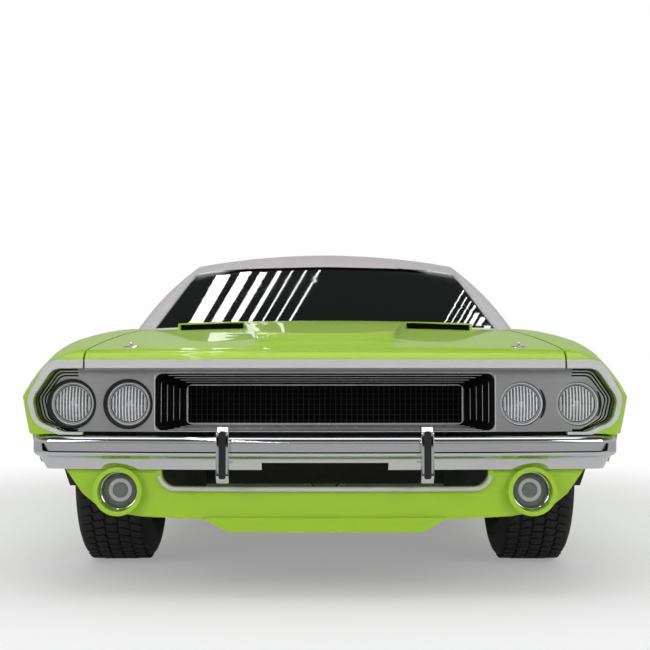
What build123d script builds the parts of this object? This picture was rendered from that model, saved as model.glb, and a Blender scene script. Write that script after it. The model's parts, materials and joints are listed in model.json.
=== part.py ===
"""A two-door hardtop muscle car of the early seventies, nose towards -Y, wheels on Z = 0, in millimetres."""
from build123d import *
import os
from math import cos, radians, sin, sqrt

os.makedirs("parts", exist_ok=True)

# driving dimensions
NOSE_Y = -2430          # front faces of the bumper guards
TAIL_Y = 2430           # rear face of the rear bumper
FRONT_AXLE_Y = -1500
REAR_AXLE_Y = 1294
WHEEL_X = 738           # half the track
TYRE_RADIUS = 340
TYRE_WIDTH = 255
RIM_RADIUS = 193
KINGPIN_X = 700
SKIN = 25               # thickness of every outer panel
GAP = 6                 # shut line between panels
DOOR_FRONT_Y = -700
DOOR_REAR_Y = 580
DOOR_GAP = 11           # shut line ahead of the door, where its edge swings in
SILL_TOP = 300
HOOD_X = 725            # half width of the hood
HOOD_REAR_Y = -962
COWL_FRONT_Y = -948
LID_X = 650
LID_FRONT_Y = 1650
NOSE_RADIUS = 6125      # plan curve of the whole front and tail
LIP_Y = -2385           # front of the hood lip on the centre line
LIP_ROLL = 47           # radius of the lip's rolled top edge
LIP_TOP = 742
TAIL_FACE_Y = 2372
ARCH_HALF = 392
ARCH_TOP = 708
ARCH_RADIUS = 255
TUB_RADIUS = 402
TUB_WALL = 6
ROOF_WALL = 32
GLASS = 5
GLASS_INSET = 9         # how far the glass lies inside the roof's outer face
LIP_BOTTOM = 708        # lower edge of the hood lip
PLATEAU_RISE = 24       # height of the hood's raised middle
PLATEAU_FRONT_Y = -2180
PLATEAU_REAR_Y = -1015
PLATEAU_FRONT_X, PLATEAU_REAR_X = 225, 300
SCOOP_Y = -1330         # open front faces of the two hood scoops
SCOOP_IN, SCOOP_OUT = 315, 560
ARCH_LIP = 15           # width of the rolled lip round each wheel opening
ARCH_LIP_RISE = 7
BUMPER_TOP = 486
DOOR_IN = 790           # inner face of the doors
FLOOR_Z = 230
LAMP_Z = 582
LAMP_XS = (596, 770)
LAMP_RADIUS = 67
PARK_X, PARK_Z, PARK_RADIUS = 623, 320, 60
PARK_POD = 73           # radius of the pod round each park lamp
RAIL_X = 400
STEER_X = 370
EXHAUST_X, EXHAUST_Z = 330, 190

# body sections: y | sill x, z | crease x, z | shoulder x, z | inner top x, z | crown z
BODY = [
    (-2400, 740, 230, 868, 596, 790, 688, 700, 722, 732),
    (-2300, 800, 225, 918, 602, 834, 714, 716, 744, 756),
    (-2130, 840, 215, 950, 610, 850, 746, 725, 766, 780),
    (-1820, 858, 205, 960, 626, 862, 786, 725, 798, 814),
    (-1500, 866, 200, 963, 640, 868, 815, 725, 826, 843),
    (-1100, 870, 198, 963, 650, 868, 843, 725, 853, 868),
    (-600, 872, 196, 959, 655, 862, 859, 725, 868, 880),
    (0, 872, 196, 955, 655, 858, 862, 725, 872, 884),
    (500, 872, 198, 957, 662, 859, 868, 725, 880, 892),
    (900, 872, 202, 965, 688, 866, 890, 725, 902, 912),
    (1300, 870, 210, 970, 713, 873, 908, 725, 917, 928),
    (1800, 855, 225, 958, 710, 862, 896, 715, 906, 918),
    (2200, 825, 245, 928, 694, 838, 868, 700, 882, 896),
    (2420, 790, 260, 898, 678, 812, 842, 680, 858, 872),
]

# cabin outlines: z | pillar x, y | windscreen centre y | side x at y 250 | rear corner x, y | rear window centre y
CABIN = [
    (820, 822, -905, -1055, 838, 722, 1530, 1690),
    (876, 800, -800, -950, 826, 706, 1425, 1570),
    (1031, 724, -520, -640, 766, 640, 1130, 1235),
    (1187, 602, -240, -330, 656, 520, 835, 905),
    (1300, 500, -35, -105, 560, 420, 620, 665),
]

# roof crown: y | height on the centre line
CROWN = [(-900, 1010), (-330, 1189), (-60, 1255), (250, 1291), (600, 1280), (900, 1226), (1600, 1040)]
CROWN_HALF = 900
CROWN_DROP = 118        # how far the crown falls at CROWN_HALF

SIDE_BULGE, UPPER_BULGE, TOP_BULGE = 14, 7, 9

# glass openings seen from the front, x and z, and from the side, y and z
SCREEN = [(-760, 800), (760, 800), (600, 1168), (0, 1180), (-600, 1168)]
BACKLIGHT = [(-655, 800), (655, 800), (470, 1160), (-470, 1160)]
SIDE_GLASS = [(-762, 840), (-714, 870), (-230, 1135), (80, 1160), (400, 1163), (720, 1140), (960, 905), (975, 840)]
DOOR_GLASS = [(-692, 840), (-692, 872), (-217, 1128), (80, 1153), (400, 1156), (552, 1146), (560, 840)]

# front openings, x and z
OPENING = [(-790, 498), (790, 498), (870, 530), (886, 598), (822, 690),
           (-822, 690), (-886, 598), (-870, 530)]
OPENING_ROUND = 48
FACE_TRIM = [(-795, 487), (795, 487), (882, 522), (904, 600), (836, 716),
             (-836, 716), (-904, 600), (-882, 522)]
FACE_TRIM_ROUND = 60
GRILLE_STEPS = 5
GRILLE_STEP_Y = 25
MOUTH = [(-492, 334), (492, 334), (492, 450), (-492, 450)]
MOUTH_LIP = [(-508, 319), (508, 319), (508, 462), (-508, 462)]
VALANCE = [(-850, 500), (850, 500), (822, 430), (735, 311), (673, 262), (560, 244), (360, 236),
           (-360, 236), (-560, 244), (-673, 262), (-735, 311), (-822, 430)]
SPOILER = [(-293, 200), (293, 200), (366, 242), (-366, 242)]

# tail lamps, x and z: the band they fill, the two dark gaps in it and the recess round it
LAMP_BAND = [(-622, 640), (622, 640), (622, 742), (-622, 742)]
LAMP_GAPS = [(-162, 600), (162, 600), (162, 800), (-162, 800)]
LAMP_RECESS = [(-636, 628), (636, 628), (636, 754), (-636, 754)]
RECESS_DEPTH = 18

# floor line seen from the side, y and z
FLOOR = [(-885, 232), (620, 232), (750, 400), (1060, 470), (1600, 470), (1700, 350), (2300, 350)]


def flip(point):
    """The same point on the other side of the car."""
    return (-point[0], point[1])


def bowed(start, end, bulge):
    """An arc that stands out to the right of the way from start to end by bulge. Call it inside a BuildLine."""
    across, up = end[0] - start[0], end[1] - start[1]
    run = sqrt(across ** 2 + up ** 2)
    middle = ((start[0] + end[0]) / 2 + up / run * bulge, (start[1] + end[1]) / 2 - across / run * bulge)
    return ThreePointArc(start, middle, end)


def save(part, name):
    """Labels a finished piece and writes its file."""
    part.label = name
    export_step(part, f"parts/{name}.step")


def body_form(inset=0):
    """The whole lower body as one lofted solid, or the same form smaller by inset all round."""
    with BuildPart() as form:
        for y, sill_x, sill_z, crease_x, crease_z, shoulder_x, shoulder_z, top_x, top_z, crown_z in BODY:
            sill = (sill_x - inset, sill_z + inset)
            crease = (crease_x - inset, crease_z)
            shoulder = (shoulder_x - 0.9 * inset, shoulder_z - 0.9 * inset)
            top = (top_x - 0.2 * inset, top_z - inset)
            crown = (0, crown_z - inset)
            with BuildSketch(Plane.XZ.offset(-y)):
                with BuildLine():
                    Line(flip(sill), sill)
                    bowed(sill, crease, SIDE_BULGE)
                    bowed(crease, shoulder, UPPER_BULGE)
                    bowed(shoulder, top, TOP_BULGE)
                    ThreePointArc(top, crown, flip(top))
                    bowed(flip(top), flip(shoulder), TOP_BULGE)
                    bowed(flip(shoulder), flip(crease), UPPER_BULGE)
                    bowed(flip(crease), flip(sill), SIDE_BULGE)
                make_face()
        loft()
    return form.part


def cabin_form(inset=0):
    """Windscreen, side glass and rear window as one lofted solid under the roof crown."""
    with BuildPart() as form:
        for z, pillar_x, pillar_y, screen_y, side_x, corner_x, corner_y, rear_y in CABIN:
            pillar = (pillar_x - inset, pillar_y + inset)
            corner = (corner_x - inset, corner_y - inset)
            with BuildSketch(Plane.XY.offset(z)) as outline:
                with BuildLine():
                    ThreePointArc(flip(pillar), (0, screen_y + inset * 1.9), pillar)
                    ThreePointArc(pillar, (side_x - inset, 250), corner)
                    ThreePointArc(corner, (0, rear_y - inset * 1.9), flip(corner))
                    ThreePointArc(flip(corner), (inset - side_x, 250), flip(pillar))
                make_face()
                fillet(outline.vertices(), 60 - 0.7 * inset)
        loft()
        add(crown_form(inset), mode=Mode.INTERSECT)
    return form.part


def crown_form(inset=0):
    """Everything under the roof's double curve."""
    with BuildPart() as form:
        for y, z in CROWN:
            with BuildSketch(Plane.XZ.offset(-y)):
                with BuildLine():
                    edge = z - inset - CROWN_DROP
                    ThreePointArc((CROWN_HALF, edge), (0, z - inset), (-CROWN_HALF, edge))
                    Polyline((-CROWN_HALF, edge), (-CROWN_HALF, 700), (CROWN_HALF, 700), (CROWN_HALF, edge))
                make_face()
        loft()
    return form.part


def side_cut(points, x_from, x_to):
    """A prism through a side-view outline, from one X to another."""
    with BuildPart() as prism:
        with BuildSketch(Plane.YZ.offset(x_from)):
            with BuildLine():
                Polyline(*points, close=True)
            make_face()
        extrude(amount=x_to - x_from)
    return prism.part


def front_cut(points, y_from, y_to, radius=None):
    """A prism through a front-view outline, from one Y to another. The outline's corners may be rounded."""
    with BuildPart() as prism:
        with BuildSketch(Plane.XZ.offset(-y_from)) as outline:
            with BuildLine():
                Polyline(*points, close=True)
            make_face()
            if radius:
                fillet(outline.vertices(), radius)
        extrude(amount=y_from - y_to)
    return prism.part


def plan_cut(points, z_from, z_to):
    """A prism through a plan outline, from one height to another."""
    with BuildPart() as prism:
        with BuildSketch(Plane.XY.offset(z_from)):
            with BuildLine():
                Polyline(*points, close=True)
            make_face()
        extrude(amount=z_to - z_from)
    return prism.part


def box_between(low, high):
    """A box from its low corner to its high one."""
    size = [h - l for l, h in zip(low, high)]
    return Pos(*low) * Box(*size, align=(Align.MIN, Align.MIN, Align.MIN))


def arch_cut(axle_y, x_from, x_to):
    """The flattened wheel opening of the outer skin."""
    with BuildPart() as prism:
        with BuildSketch(Plane.YZ.offset(x_from)) as outline:
            with Locations((axle_y, ARCH_TOP)):
                Rectangle(2 * ARCH_HALF, ARCH_TOP - 60, align=(Align.CENTER, Align.MAX))
            fillet(outline.vertices().group_by(Axis.Y)[-1], ARCH_RADIUS)
        extrude(amount=x_to - x_from)
    return prism.part


def ends_form(inset=0):
    """What the curved nose, its rolled lip and the curved tail leave of the body."""
    radius = NOSE_RADIUS - inset
    with BuildPart() as form:
        with BuildSketch(Plane.XZ.offset(-LIP_Y - NOSE_RADIUS)):
            with BuildLine():
                top = LIP_TOP - inset
                Line((0, 100), (radius, 100))
                Line((radius, 100), (radius, top - LIP_ROLL))
                RadiusArc((radius, top - LIP_ROLL), (radius - LIP_ROLL, top), -LIP_ROLL)
                Polyline((radius - LIP_ROLL, top), (radius - LIP_ROLL, 1500), (0, 1500), (0, 100))
            make_face()
        revolve(axis=Axis((0, LIP_Y + NOSE_RADIUS, 0), (0, 0, 1)))
        with BuildSketch(Plane.XY) as tail:
            with Locations((0, TAIL_FACE_Y - NOSE_RADIUS)):
                Circle(radius)
        extrude(amount=1500, mode=Mode.INTERSECT)
    return form.part


def curved_plate(front_y, depth, z_from, z_to):
    """An upright plate along the plan curve of the nose, its face at front_y on the centre line."""
    with BuildPart() as plate:
        with BuildSketch(Plane.XY.offset(z_from)):
            with Locations((0, front_y + NOSE_RADIUS)):
                Circle(NOSE_RADIUS)
                Circle(NOSE_RADIUS - depth, mode=Mode.SUBTRACT)
            with Locations((0, front_y)):
                Rectangle(2200, 400, mode=Mode.INTERSECT)
        extrude(amount=z_to - z_from)
    return plate.part


def tail_plate(rear_y, depth):
    """An upright plate along the plan curve of the tail, its face at rear_y on the centre line."""
    return mirror(curved_plate(-rear_y, depth, 280, 900), about=Plane.XZ)


def both_sides(part):
    """A piece and its mirror image as one compound."""
    return Compound(children=[part, mirror(part, about=Plane.YZ)])


def sides(name, part):
    """Writes a left-hand piece and its mirror image as two nodes."""
    save(part, f"{name}_left")
    save(mirror(part, about=Plane.YZ), f"{name}_right")


def arch_lip(axle_y):
    """The rolled lip round one wheel opening, standing a little proud of the body side."""
    with BuildPart() as lip:
        with BuildSketch(Plane.YZ.offset(600)) as ring:
            with Locations((axle_y, ARCH_TOP)):
                Rectangle(2 * ARCH_HALF, ARCH_TOP - 150, align=(Align.CENTER, Align.MAX))
            fillet(ring.vertices().group_by(Axis.Y)[-1], ARCH_RADIUS)
            offset(ring.sketch, amount=ARCH_LIP)
            with Locations((axle_y, 0)):
                Rectangle(3 * ARCH_HALF, 640, mode=Mode.SUBTRACT)
        extrude(amount=500)
    return lip.part - arch_cut(axle_y, 500, 1200)


# forms shared by the panels
ends = ends_form()
outer = body_form() & ends
room = body_form(SKIN) & ends_form(SKIN)
skin = outer - room
wide_form = body_form(-ARCH_LIP_RISE)
lip_skin = wide_form - room
under_skin = body_form(SKIN + 1) & ends_form(SKIN + 1)
cabin_shell = cabin_form() - cabin_form(ROOF_WALL) - outer
glass_shell = cabin_form(GLASS_INSET) - cabin_form(GLASS_INSET + GLASS) - outer
screen_hole = front_cut(SCREEN, -1200, -270)
back_hole = front_cut(BACKLIGHT, 700, 1800)
side_hole = side_cut(SIDE_GLASS, 400, 1000)

# roof with its pillars, and the fixed glass
save(cabin_shell - screen_hole - back_hole - side_hole - mirror(side_hole, about=Plane.YZ), "roof")
save(glass_shell & screen_hole, "windscreen")
save(glass_shell & back_hole, "rear_window")
save(both_sides(glass_shell & side_hole & box_between((400, 568, 860), (1000, 1200, 1300))), "quarter_glass")

# hood
def raised(outline, rise, taper):
    """What stands above the body surface inside a plan outline, its sides leaning in by taper."""
    with BuildPart() as block:
        with BuildSketch(Plane.XY.offset(600)):
            with BuildLine():
                Polyline(*outline, close=True)
            make_face()
        extrude(amount=400, taper=taper)
    return block.part & body_form(-rise)


hood = skin & box_between((-HOOD_X, -2600, LIP_BOTTOM), (HOOD_X, HOOD_REAR_Y, 1000))
plateau = [(-PLATEAU_FRONT_X, PLATEAU_FRONT_Y), (PLATEAU_FRONT_X, PLATEAU_FRONT_Y),
           (PLATEAU_REAR_X + 30, SCOOP_Y), (SCOOP_OUT + 30, SCOOP_Y), (SCOOP_OUT - 20, PLATEAU_REAR_Y), (20 - SCOOP_OUT, PLATEAU_REAR_Y),
           (-SCOOP_OUT - 30, SCOOP_Y), (-PLATEAU_REAR_X - 30, SCOOP_Y)]
hood += raised(plateau, PLATEAU_RISE, 4) - (body_form(SKIN) & ends)
for side in (-1, 1):
    scoop = box_between((min(side * SCOOP_IN, side * SCOOP_OUT), SCOOP_Y - 60, 700),
                        (max(side * SCOOP_IN, side * SCOOP_OUT), SCOOP_Y + 90, 1000))
    hood -= scoop & (body_form(5 - PLATEAU_RISE) - body_form(8))
save(hood, "hood")

# fenders
fender_rear = DOOR_FRONT_Y - DOOR_GAP
fender = skin & box_between((0, -2600, 100), (1200, fender_rear, 1000))
fender -= box_between((-1, -2600, 0), (HOOD_X + GAP, 0, 1200))
fender -= front_cut(OPENING, -2500, -2280, OPENING_ROUND)
fender -= box_between((-1, -2600, 0), (1200, -2114, BUMPER_TOP + 6))
fender -= box_between((-1, -2600, 0), (1200, -1850, 395))
fender -= box_between((-1, -2600, 0), (780, 0, 320))
fender -= arch_cut(FRONT_AXLE_Y, 600, 1100)
fender += under_skin & box_between((DOOR_IN, fender_rear - 25, SILL_TOP), (1000, fender_rear, 900))
fender += arch_lip(FRONT_AXLE_Y) & lip_skin
sides("fender", fender)

# cowl and firewall
cowl = skin & box_between((-HOOD_X, COWL_FRONT_Y, 700), (HOOD_X, -700, 1000)) - cabin_form(ROOF_WALL + 10)
save(cowl, "cowl")
firewall = under_skin & box_between((-780, -905, FLOOR_Z), (780, -886, 845))
firewall -= front_cut([(-190, 100), (190, 100), (190, 412), (-190, 412)], -1000, -800)
save(firewall, "firewall")

# doors with their glass
door_plan = [(DOOR_IN, DOOR_FRONT_Y), (1100, DOOR_FRONT_Y), (1100, DOOR_REAR_Y), (DOOR_IN, DOOR_REAR_Y - 15)]
with BuildPart() as armrest:
    with Locations((DOOR_IN - 28, -40, 585)):
        Box(60, 460, 60)
    fillet(armrest.edges().group_by(Axis.X)[0], 18)
sides("door", (outer & plan_cut(door_plan, SILL_TOP + GAP, 1000)) + armrest.part)
sides("door_glass", glass_shell & side_cut(DOOR_GLASS, 400, 1000))

# quarters, deck, tail and boot lid
quarter_front = DOOR_REAR_Y + GAP
quarter = skin & box_between((0, quarter_front, 100), (1200, TAIL_Y, 1000))
quarter -= box_between((-1, 0, 600), (LID_X + GAP, 3000, 1200))
quarter -= box_between((-1, 0, 0), (LID_X + GAP, 2600, 1200))
quarter -= arch_cut(REAR_AXLE_Y, 600, 1100)
quarter -= box_between((0, 2114, 444), (1200, 2600, 568))
quarter -= box_between((-1, 0, 0), (780, 2600, 320))
quarter += under_skin & box_between((DOOR_IN, quarter_front, SILL_TOP), (1000, quarter_front + 30, 900))
quarter += arch_lip(REAR_AXLE_Y) & lip_skin
sides("quarter", quarter)
rear_deck = skin & box_between((-LID_X, 1350, 800), (LID_X, LID_FRONT_Y - 8, 1000)) - cabin_form(ROOF_WALL + 10)
rear_deck += box_between((-560, 1200, 862), (560, 1440, 874))
save(rear_deck, "rear_deck")
save(skin & box_between((-LID_X, LID_FRONT_Y, 790), (LID_X, 2600, 1000)), "boot_lid")
tail = skin & box_between((-LID_X - GAP + 1, 2250, 290), (LID_X + GAP - 1, 2600, 784))
tail -= front_cut(LAMP_RECESS, 2200, 2500, 16) - tail_plate(TAIL_FACE_Y - RECESS_DEPTH, 60)
save(tail, "tail_panel")

# sills, floor, tunnel and wheelhouses
sill = outer & box_between((765, fender_rear, 150), (1100, quarter_front, SILL_TOP))
save(both_sides(sill), "sills")
with BuildPart() as floor_pan:
    with BuildSketch(Plane.YZ.offset(-575)):
        with BuildLine() as floor_line:
            Polyline(*FLOOR)
        trace(floor_line.line, 8)
    extrude(amount=1150)
    for side in (-1, 1):
        with BuildSketch(Plane.XY.offset(228)):
            with Locations((side * 669, -138)):
                Rectangle(188, 1490)
        extrude(amount=8)
    with BuildSketch(Plane.XZ.offset(-770)) as tunnel:
        with Locations((0, 232)):
            Circle(178)
            Rectangle(400, 200, align=(Align.CENTER, Align.MAX), mode=Mode.SUBTRACT)
    extrude(amount=1655)
    with BuildSketch(Plane.XZ.offset(-771)):
        with Locations((0, 232)):
            Circle(170)
    extrude(amount=1660, mode=Mode.SUBTRACT)
save(floor_pan.part, "floor_pan")


def wheelhouse(axle_y, wall_x):
    """A half-round tub over one wheel, open below and towards the wheel opening."""
    with BuildPart() as tub:
        with BuildSketch(Plane.YZ.offset(wall_x)):
            with Locations((axle_y, TYRE_RADIUS)):
                Circle(TUB_RADIUS + TUB_WALL)
        extrude(amount=1000)
        with BuildSketch(Plane.YZ.offset(wall_x + TUB_WALL)):
            with Locations((axle_y, TYRE_RADIUS)):
                Circle(TUB_RADIUS)
        extrude(amount=1000, mode=Mode.SUBTRACT)
    lower = box_between((0, axle_y - 600, 0), (1400, axle_y + 600, 300))
    axle_way = box_between((0, axle_y - 150, 0), (wall_x + 20, axle_y + 150, 520))
    return tub.part - lower - axle_way & under_skin


save(both_sides(wheelhouse(FRONT_AXLE_Y, 436) + wheelhouse(REAR_AXLE_Y, 580)), "wheelhouses")

# rails, radiator, engine and running gear
with BuildPart() as front_frame:
    with Locations((RAIL_X, -1556, 380), (-RAIL_X, -1556, 380)):
        Box(60, 1300, 100)
    with Locations((0, -2150, 380)):
        Box(860, 60, 100)
    with Locations((0, -2150, 550)):
        Box(700, 60, 240)
save(front_frame.part, "front_frame")
with BuildPart() as engine:
    with Locations((0, -1480, 495)):
        Box(560, 720, 390)
    with BuildSketch(Plane.XZ.offset(1120)):
        with Locations((0, 340)):
            Circle(150)
    extrude(amount=-200)
    with BuildSketch(Plane.XZ.offset(920)):
        with Locations((0, 310)):
            Circle(82)
    extrude(amount=-520)
save(engine.part, "engine")
with BuildPart() as front_suspension:
    with Locations((0, FRONT_AXLE_Y, 262)):
        Box(864, 130, 60)
    for side in (-1, 1):
        for height, thick in ((211, 22), (468, 20)):
            with BuildSketch(Plane.XY.offset(height - thick / 2)):
                with BuildLine():
                    Polyline((side * 432, FRONT_AXLE_Y - 75), (side * 690, FRONT_AXLE_Y - 24),
                             (side * 690, FRONT_AXLE_Y + 24), (side * 432, FRONT_AXLE_Y + 75), close=True)
                make_face()
                with Locations((side * KINGPIN_X, FRONT_AXLE_Y)):
                    Circle(26)
            extrude(amount=thick)
        with BuildSketch(Plane.XY.offset(222)):
            with Locations((side * 520, FRONT_AXLE_Y)):
                Circle(40)
        extrude(amount=236)
save(front_suspension.part, "front_suspension")
with BuildPart() as rear_axle:
    with BuildSketch(Plane.YZ.offset(-705)):
        with Locations((REAR_AXLE_Y, TYRE_RADIUS)):
            Circle(36)
    extrude(amount=1410)
    with Locations((0, REAR_AXLE_Y, TYRE_RADIUS)):
        Sphere(112)
    with BuildSketch(Plane.XZ.offset(-1200)):
        with Locations((0, TYRE_RADIUS - 10)):
            Circle(36)
    extrude(amount=1600)
    for side in (-1, 1):
        with Locations((side * 520, REAR_AXLE_Y, 285)):
            Box(58, 1200, 40)
save(rear_axle.part, "rear_axle")
with BuildPart() as exhaust:
    with BuildSketch(Plane.XZ.offset(1080)):
        with Locations((-EXHAUST_X, EXHAUST_Z), (EXHAUST_X, EXHAUST_Z)):
            Circle(28)
    extrude(amount=-3450)
    with BuildSketch(Plane.XZ.offset(-100)):
        with Locations((-EXHAUST_X, EXHAUST_Z), (EXHAUST_X, EXHAUST_Z)):
            Ellipse(90, 36)
    extrude(amount=560)
    with BuildSketch(Plane.XZ.offset(-2370)):
        with Locations((-EXHAUST_X, EXHAUST_Z), (EXHAUST_X, EXHAUST_Z)):
            Circle(34)
    extrude(amount=110)
save(exhaust.part, "exhaust")
with BuildPart() as fuel_tank:
    with Locations((0, 1990, 285)):
        Box(640, 480, 110)
save(fuel_tank.part, "fuel_tank")

# front face
def grille_outline(step):
    """Outline of one step of the dished grille surround."""
    half, low, high = 515 - 16 * step, 500 + 3 * step, 676 - 7 * step
    return [(-half, low), (half, low), (half, high), (-half, high)]


lamp_panel = curved_plate(-2345, 22, 480, 720) & front_cut(OPENING, -2500, -2200, OPENING_ROUND) & under_skin
lamp_panel -= front_cut(grille_outline(0), -2500, -2200, 30)
with BuildPart() as lamp_bores:
    with BuildSketch(Plane.XZ.offset(2500)):
        with Locations(*[(side * x, LAMP_Z) for side in (-1, 1) for x in LAMP_XS]):
            Circle(LAMP_RADIUS + 0.3)
    extrude(amount=-300)
header_room = box_between((-HOOD_X, -2600, 600), (HOOD_X, -2200, 800))
header = curved_plate(LIP_Y + 6, 36, 684, LIP_BOTTOM - 7) & header_room
save(lamp_panel - lamp_bores.part + header, "lamp_panel")
with BuildPart() as grille_shell:
    for step in range(GRILLE_STEPS):
        plate = curved_plate(-2345 + GRILLE_STEP_Y * step, GRILLE_STEP_Y, 470, 700)
        plate = plate & front_cut(grille_outline(step), -2500, -2100, 30 - step)
        add(plate - front_cut(grille_outline(step + 1), -2500, -2100, 29 - step))
save(grille_shell.part, "grille_shell")
mesh_y = -2345 + GRILLE_STEP_Y * GRILLE_STEPS
mesh = curved_plate(mesh_y + 0.5, 8, 480, 700) & front_cut(grille_outline(4), -2500, -2000, 26)
with BuildPart() as mesh_holes:
    with BuildSketch(Plane.XZ.offset(2400)):
        with Locations((0, 578)):
            with GridLocations(26, 26, 33, 5):
                Rectangle(22, 22)
    extrude(amount=-400)
save(mesh - mesh_holes.part, "grille_mesh")


def lamp_disc(radius, front_y, depth, places, ring=0):
    """Round lamps or rings facing forwards at a list of x, z places."""
    with BuildPart() as discs:
        for x, z in places:
            y = front_y + x * x / 2 / NOSE_RADIUS
            with BuildSketch(Plane.XZ.offset(-y)):
                with Locations((x, z)):
                    Circle(radius)
                    if ring:
                        Circle(radius - ring, mode=Mode.SUBTRACT)
            extrude(amount=-depth)
    return discs.part


lamp_places = [(side * x, LAMP_Z) for side in (-1, 1) for x in LAMP_XS]
park_places = [(side * PARK_X, PARK_Z) for side in (-1, 1)]
headlamp_rims = lamp_disc(LAMP_RADIUS, -2355, 30, lamp_places, 7)
save(headlamp_rims, "headlamp_rims")
headlamps = lamp_disc(LAMP_RADIUS - 7.2, -2352, 44, lamp_places)
save(headlamps, "headlamps")
face_trim = front_cut(FACE_TRIM, -2600, -2200, FACE_TRIM_ROUND)
face_trim -= front_cut(OPENING, -2600, -2200, OPENING_ROUND)
face_trim = face_trim & curved_plate(LIP_Y - 5, 30, 400, 800) & wide_form - outer
save(face_trim & box_between((-HOOD_X + 2, -2600, 680), (HOOD_X - 2, 0, 800)), "hood_moulding")
save(both_sides(face_trim & box_between((HOOD_X + 4, -2600, 490), (1000, 0, 800))), "fender_mouldings")


def bumper(half_width, face_y, end_y, sign, z_top, z_bottom):
    """A wrap-round bumper swept along its plan line. sign is -1 at the front and 1 at the rear."""
    corner = 90
    centre_y = face_y - sign * NOSE_RADIUS
    corner_x = half_width - corner
    corner_y = centre_y + sign * sqrt((NOSE_RADIUS - corner) ** 2 - corner_x ** 2)
    reach = NOSE_RADIUS / (NOSE_RADIUS - corner)
    meet = (corner_x * reach, centre_y + (corner_y - centre_y) * reach)
    middle = (corner_x + corner * 0.72, corner_y + sign * corner * sqrt(1 - 0.72 ** 2))
    with BuildPart() as bar:
        with BuildLine() as route:
            Line((-half_width, end_y), (-half_width, corner_y))
            ThreePointArc((-half_width, corner_y), flip(middle), flip(meet))
            ThreePointArc(flip(meet), (0, face_y), meet)
            ThreePointArc(meet, middle, (half_width, corner_y))
            Line((half_width, corner_y), (half_width, end_y))
        start = Plane(origin=(-half_width, end_y, 0), x_dir=(1, 0, 0), z_dir=(0, sign, 0))
        with BuildSketch(start):
            with BuildLine():
                up = -sign
                top, low = up * z_top, up * z_bottom
                Line((38, top), (12, top))
                ThreePointArc((12, top), (3, top - up * 8), (0, top - up * 22))
                Line((0, top - up * 22), (0, top - up * 44))
                ThreePointArc((0, top - up * 44), (4, top - up * 56), (16, top - up * 62))
                Polyline((16, top - up * 62), (24, top - up * 70), (40, low), (52, low), (52, top - up * 20),
                         (38, top))
            make_face()
        sweep(path=route.line)
    return bar.part


front_bumper = bumper(893, -2402, -2120, -1, BUMPER_TOP, 386) - box_between((-190, -2500, 380), (190, -2300, 408))
save(bumper(905, TAIL_Y, 2120, 1, 560, 450), "rear_bumper")
with BuildPart() as bumper_guards:
    for side in (-1, 1):
        with BuildSketch(Plane.YZ.offset(side * 301.5 - 19)):
            with BuildLine():
                Polyline((-2395, 350), (-2395, 518), (-2412, 518), (NOSE_Y, 500), (NOSE_Y, 372), (-2415, 350),
                         close=True)
            make_face()
        extrude(amount=38)
save(front_bumper + bumper_guards.part, "front_bumper")
valance = curved_plate(-2345, 22, 200, 520) & front_cut(VALANCE, -2500, -2100)
valance -= box_between((-900, -2600, 470), (900, -2000, 600))
valance += curved_plate(-2353, 30, 300, 470) & front_cut(MOUTH_LIP, -2500, -2100, 56)
valance += lamp_disc(PARK_POD, -2378, 50, park_places)
valance += curved_plate(-2357, 34, 200, 242) & front_cut(SPOILER, -2500, -2100)
valance -= front_cut(MOUTH, -2500, -2100, 44)
valance -= lamp_disc(PARK_RADIUS, -2420, 200, park_places)
save(valance - front_bumper, "front_valance")
save(lamp_disc(PARK_RADIUS - 0.3, -2365, 30, park_places), "park_lamps")
lamp_band = front_cut(LAMP_BAND, 2200, 2500, 12) - front_cut(LAMP_GAPS, 2200, 2500)
tail_lamps = tail_plate(TAIL_FACE_Y - 2, RECESS_DEPTH - 3) & lamp_band
save(tail_lamps, "tail_lamps")

# cabin
with BuildPart() as dashboard:
    with BuildSketch(Plane.YZ.offset(-745)) as dash_outline:
        with BuildLine():
            Polyline((-850, 560), (-850, 815), (-640, 835), (-560, 800), (-560, 700), (-620, 610), close=True)
        make_face()
        fillet(dash_outline.vertices(), 24)
    extrude(amount=1490)
with BuildPart() as console:
    with Locations((0, -60, 416)):
        Box(190, 900, 76)
    with BuildSketch(Plane.XZ.offset(-500)):
        with Locations((0, 232)):
            Circle(179)
    extrude(amount=1100, mode=Mode.SUBTRACT)


def seat(half_width, x, cushion, back, radius=35):
    """A seat cushion and back, each a rounded block from a side outline."""
    with BuildPart() as pads:
        for outline in (cushion, back):
            with BuildSketch(Plane.YZ.offset(x - half_width)) as side_view:
                with BuildLine():
                    Polyline(*outline, close=True)
                make_face()
                fillet(side_view.vertices(), radius)
            extrude(amount=2 * half_width)
    return pads.part


CUSHION = [(-180, 348), (-190, 470), (300, 440), (330, 348)]
BACK = [(270, 450), (420, 1000), (520, 1000), (420, 430)]
save(both_sides(seat(240, 390, CUSHION, BACK)), "front_seats")
REAR_CUSHION = [(650, 422), (640, 535), (1070, 515), (1085, 482)]
REAR_BACK = [(1075, 520), (1200, 860), (1290, 860), (1215, 500)]
save(seat(560, 0, REAR_CUSHION, REAR_BACK, 14), "rear_seat")

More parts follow.
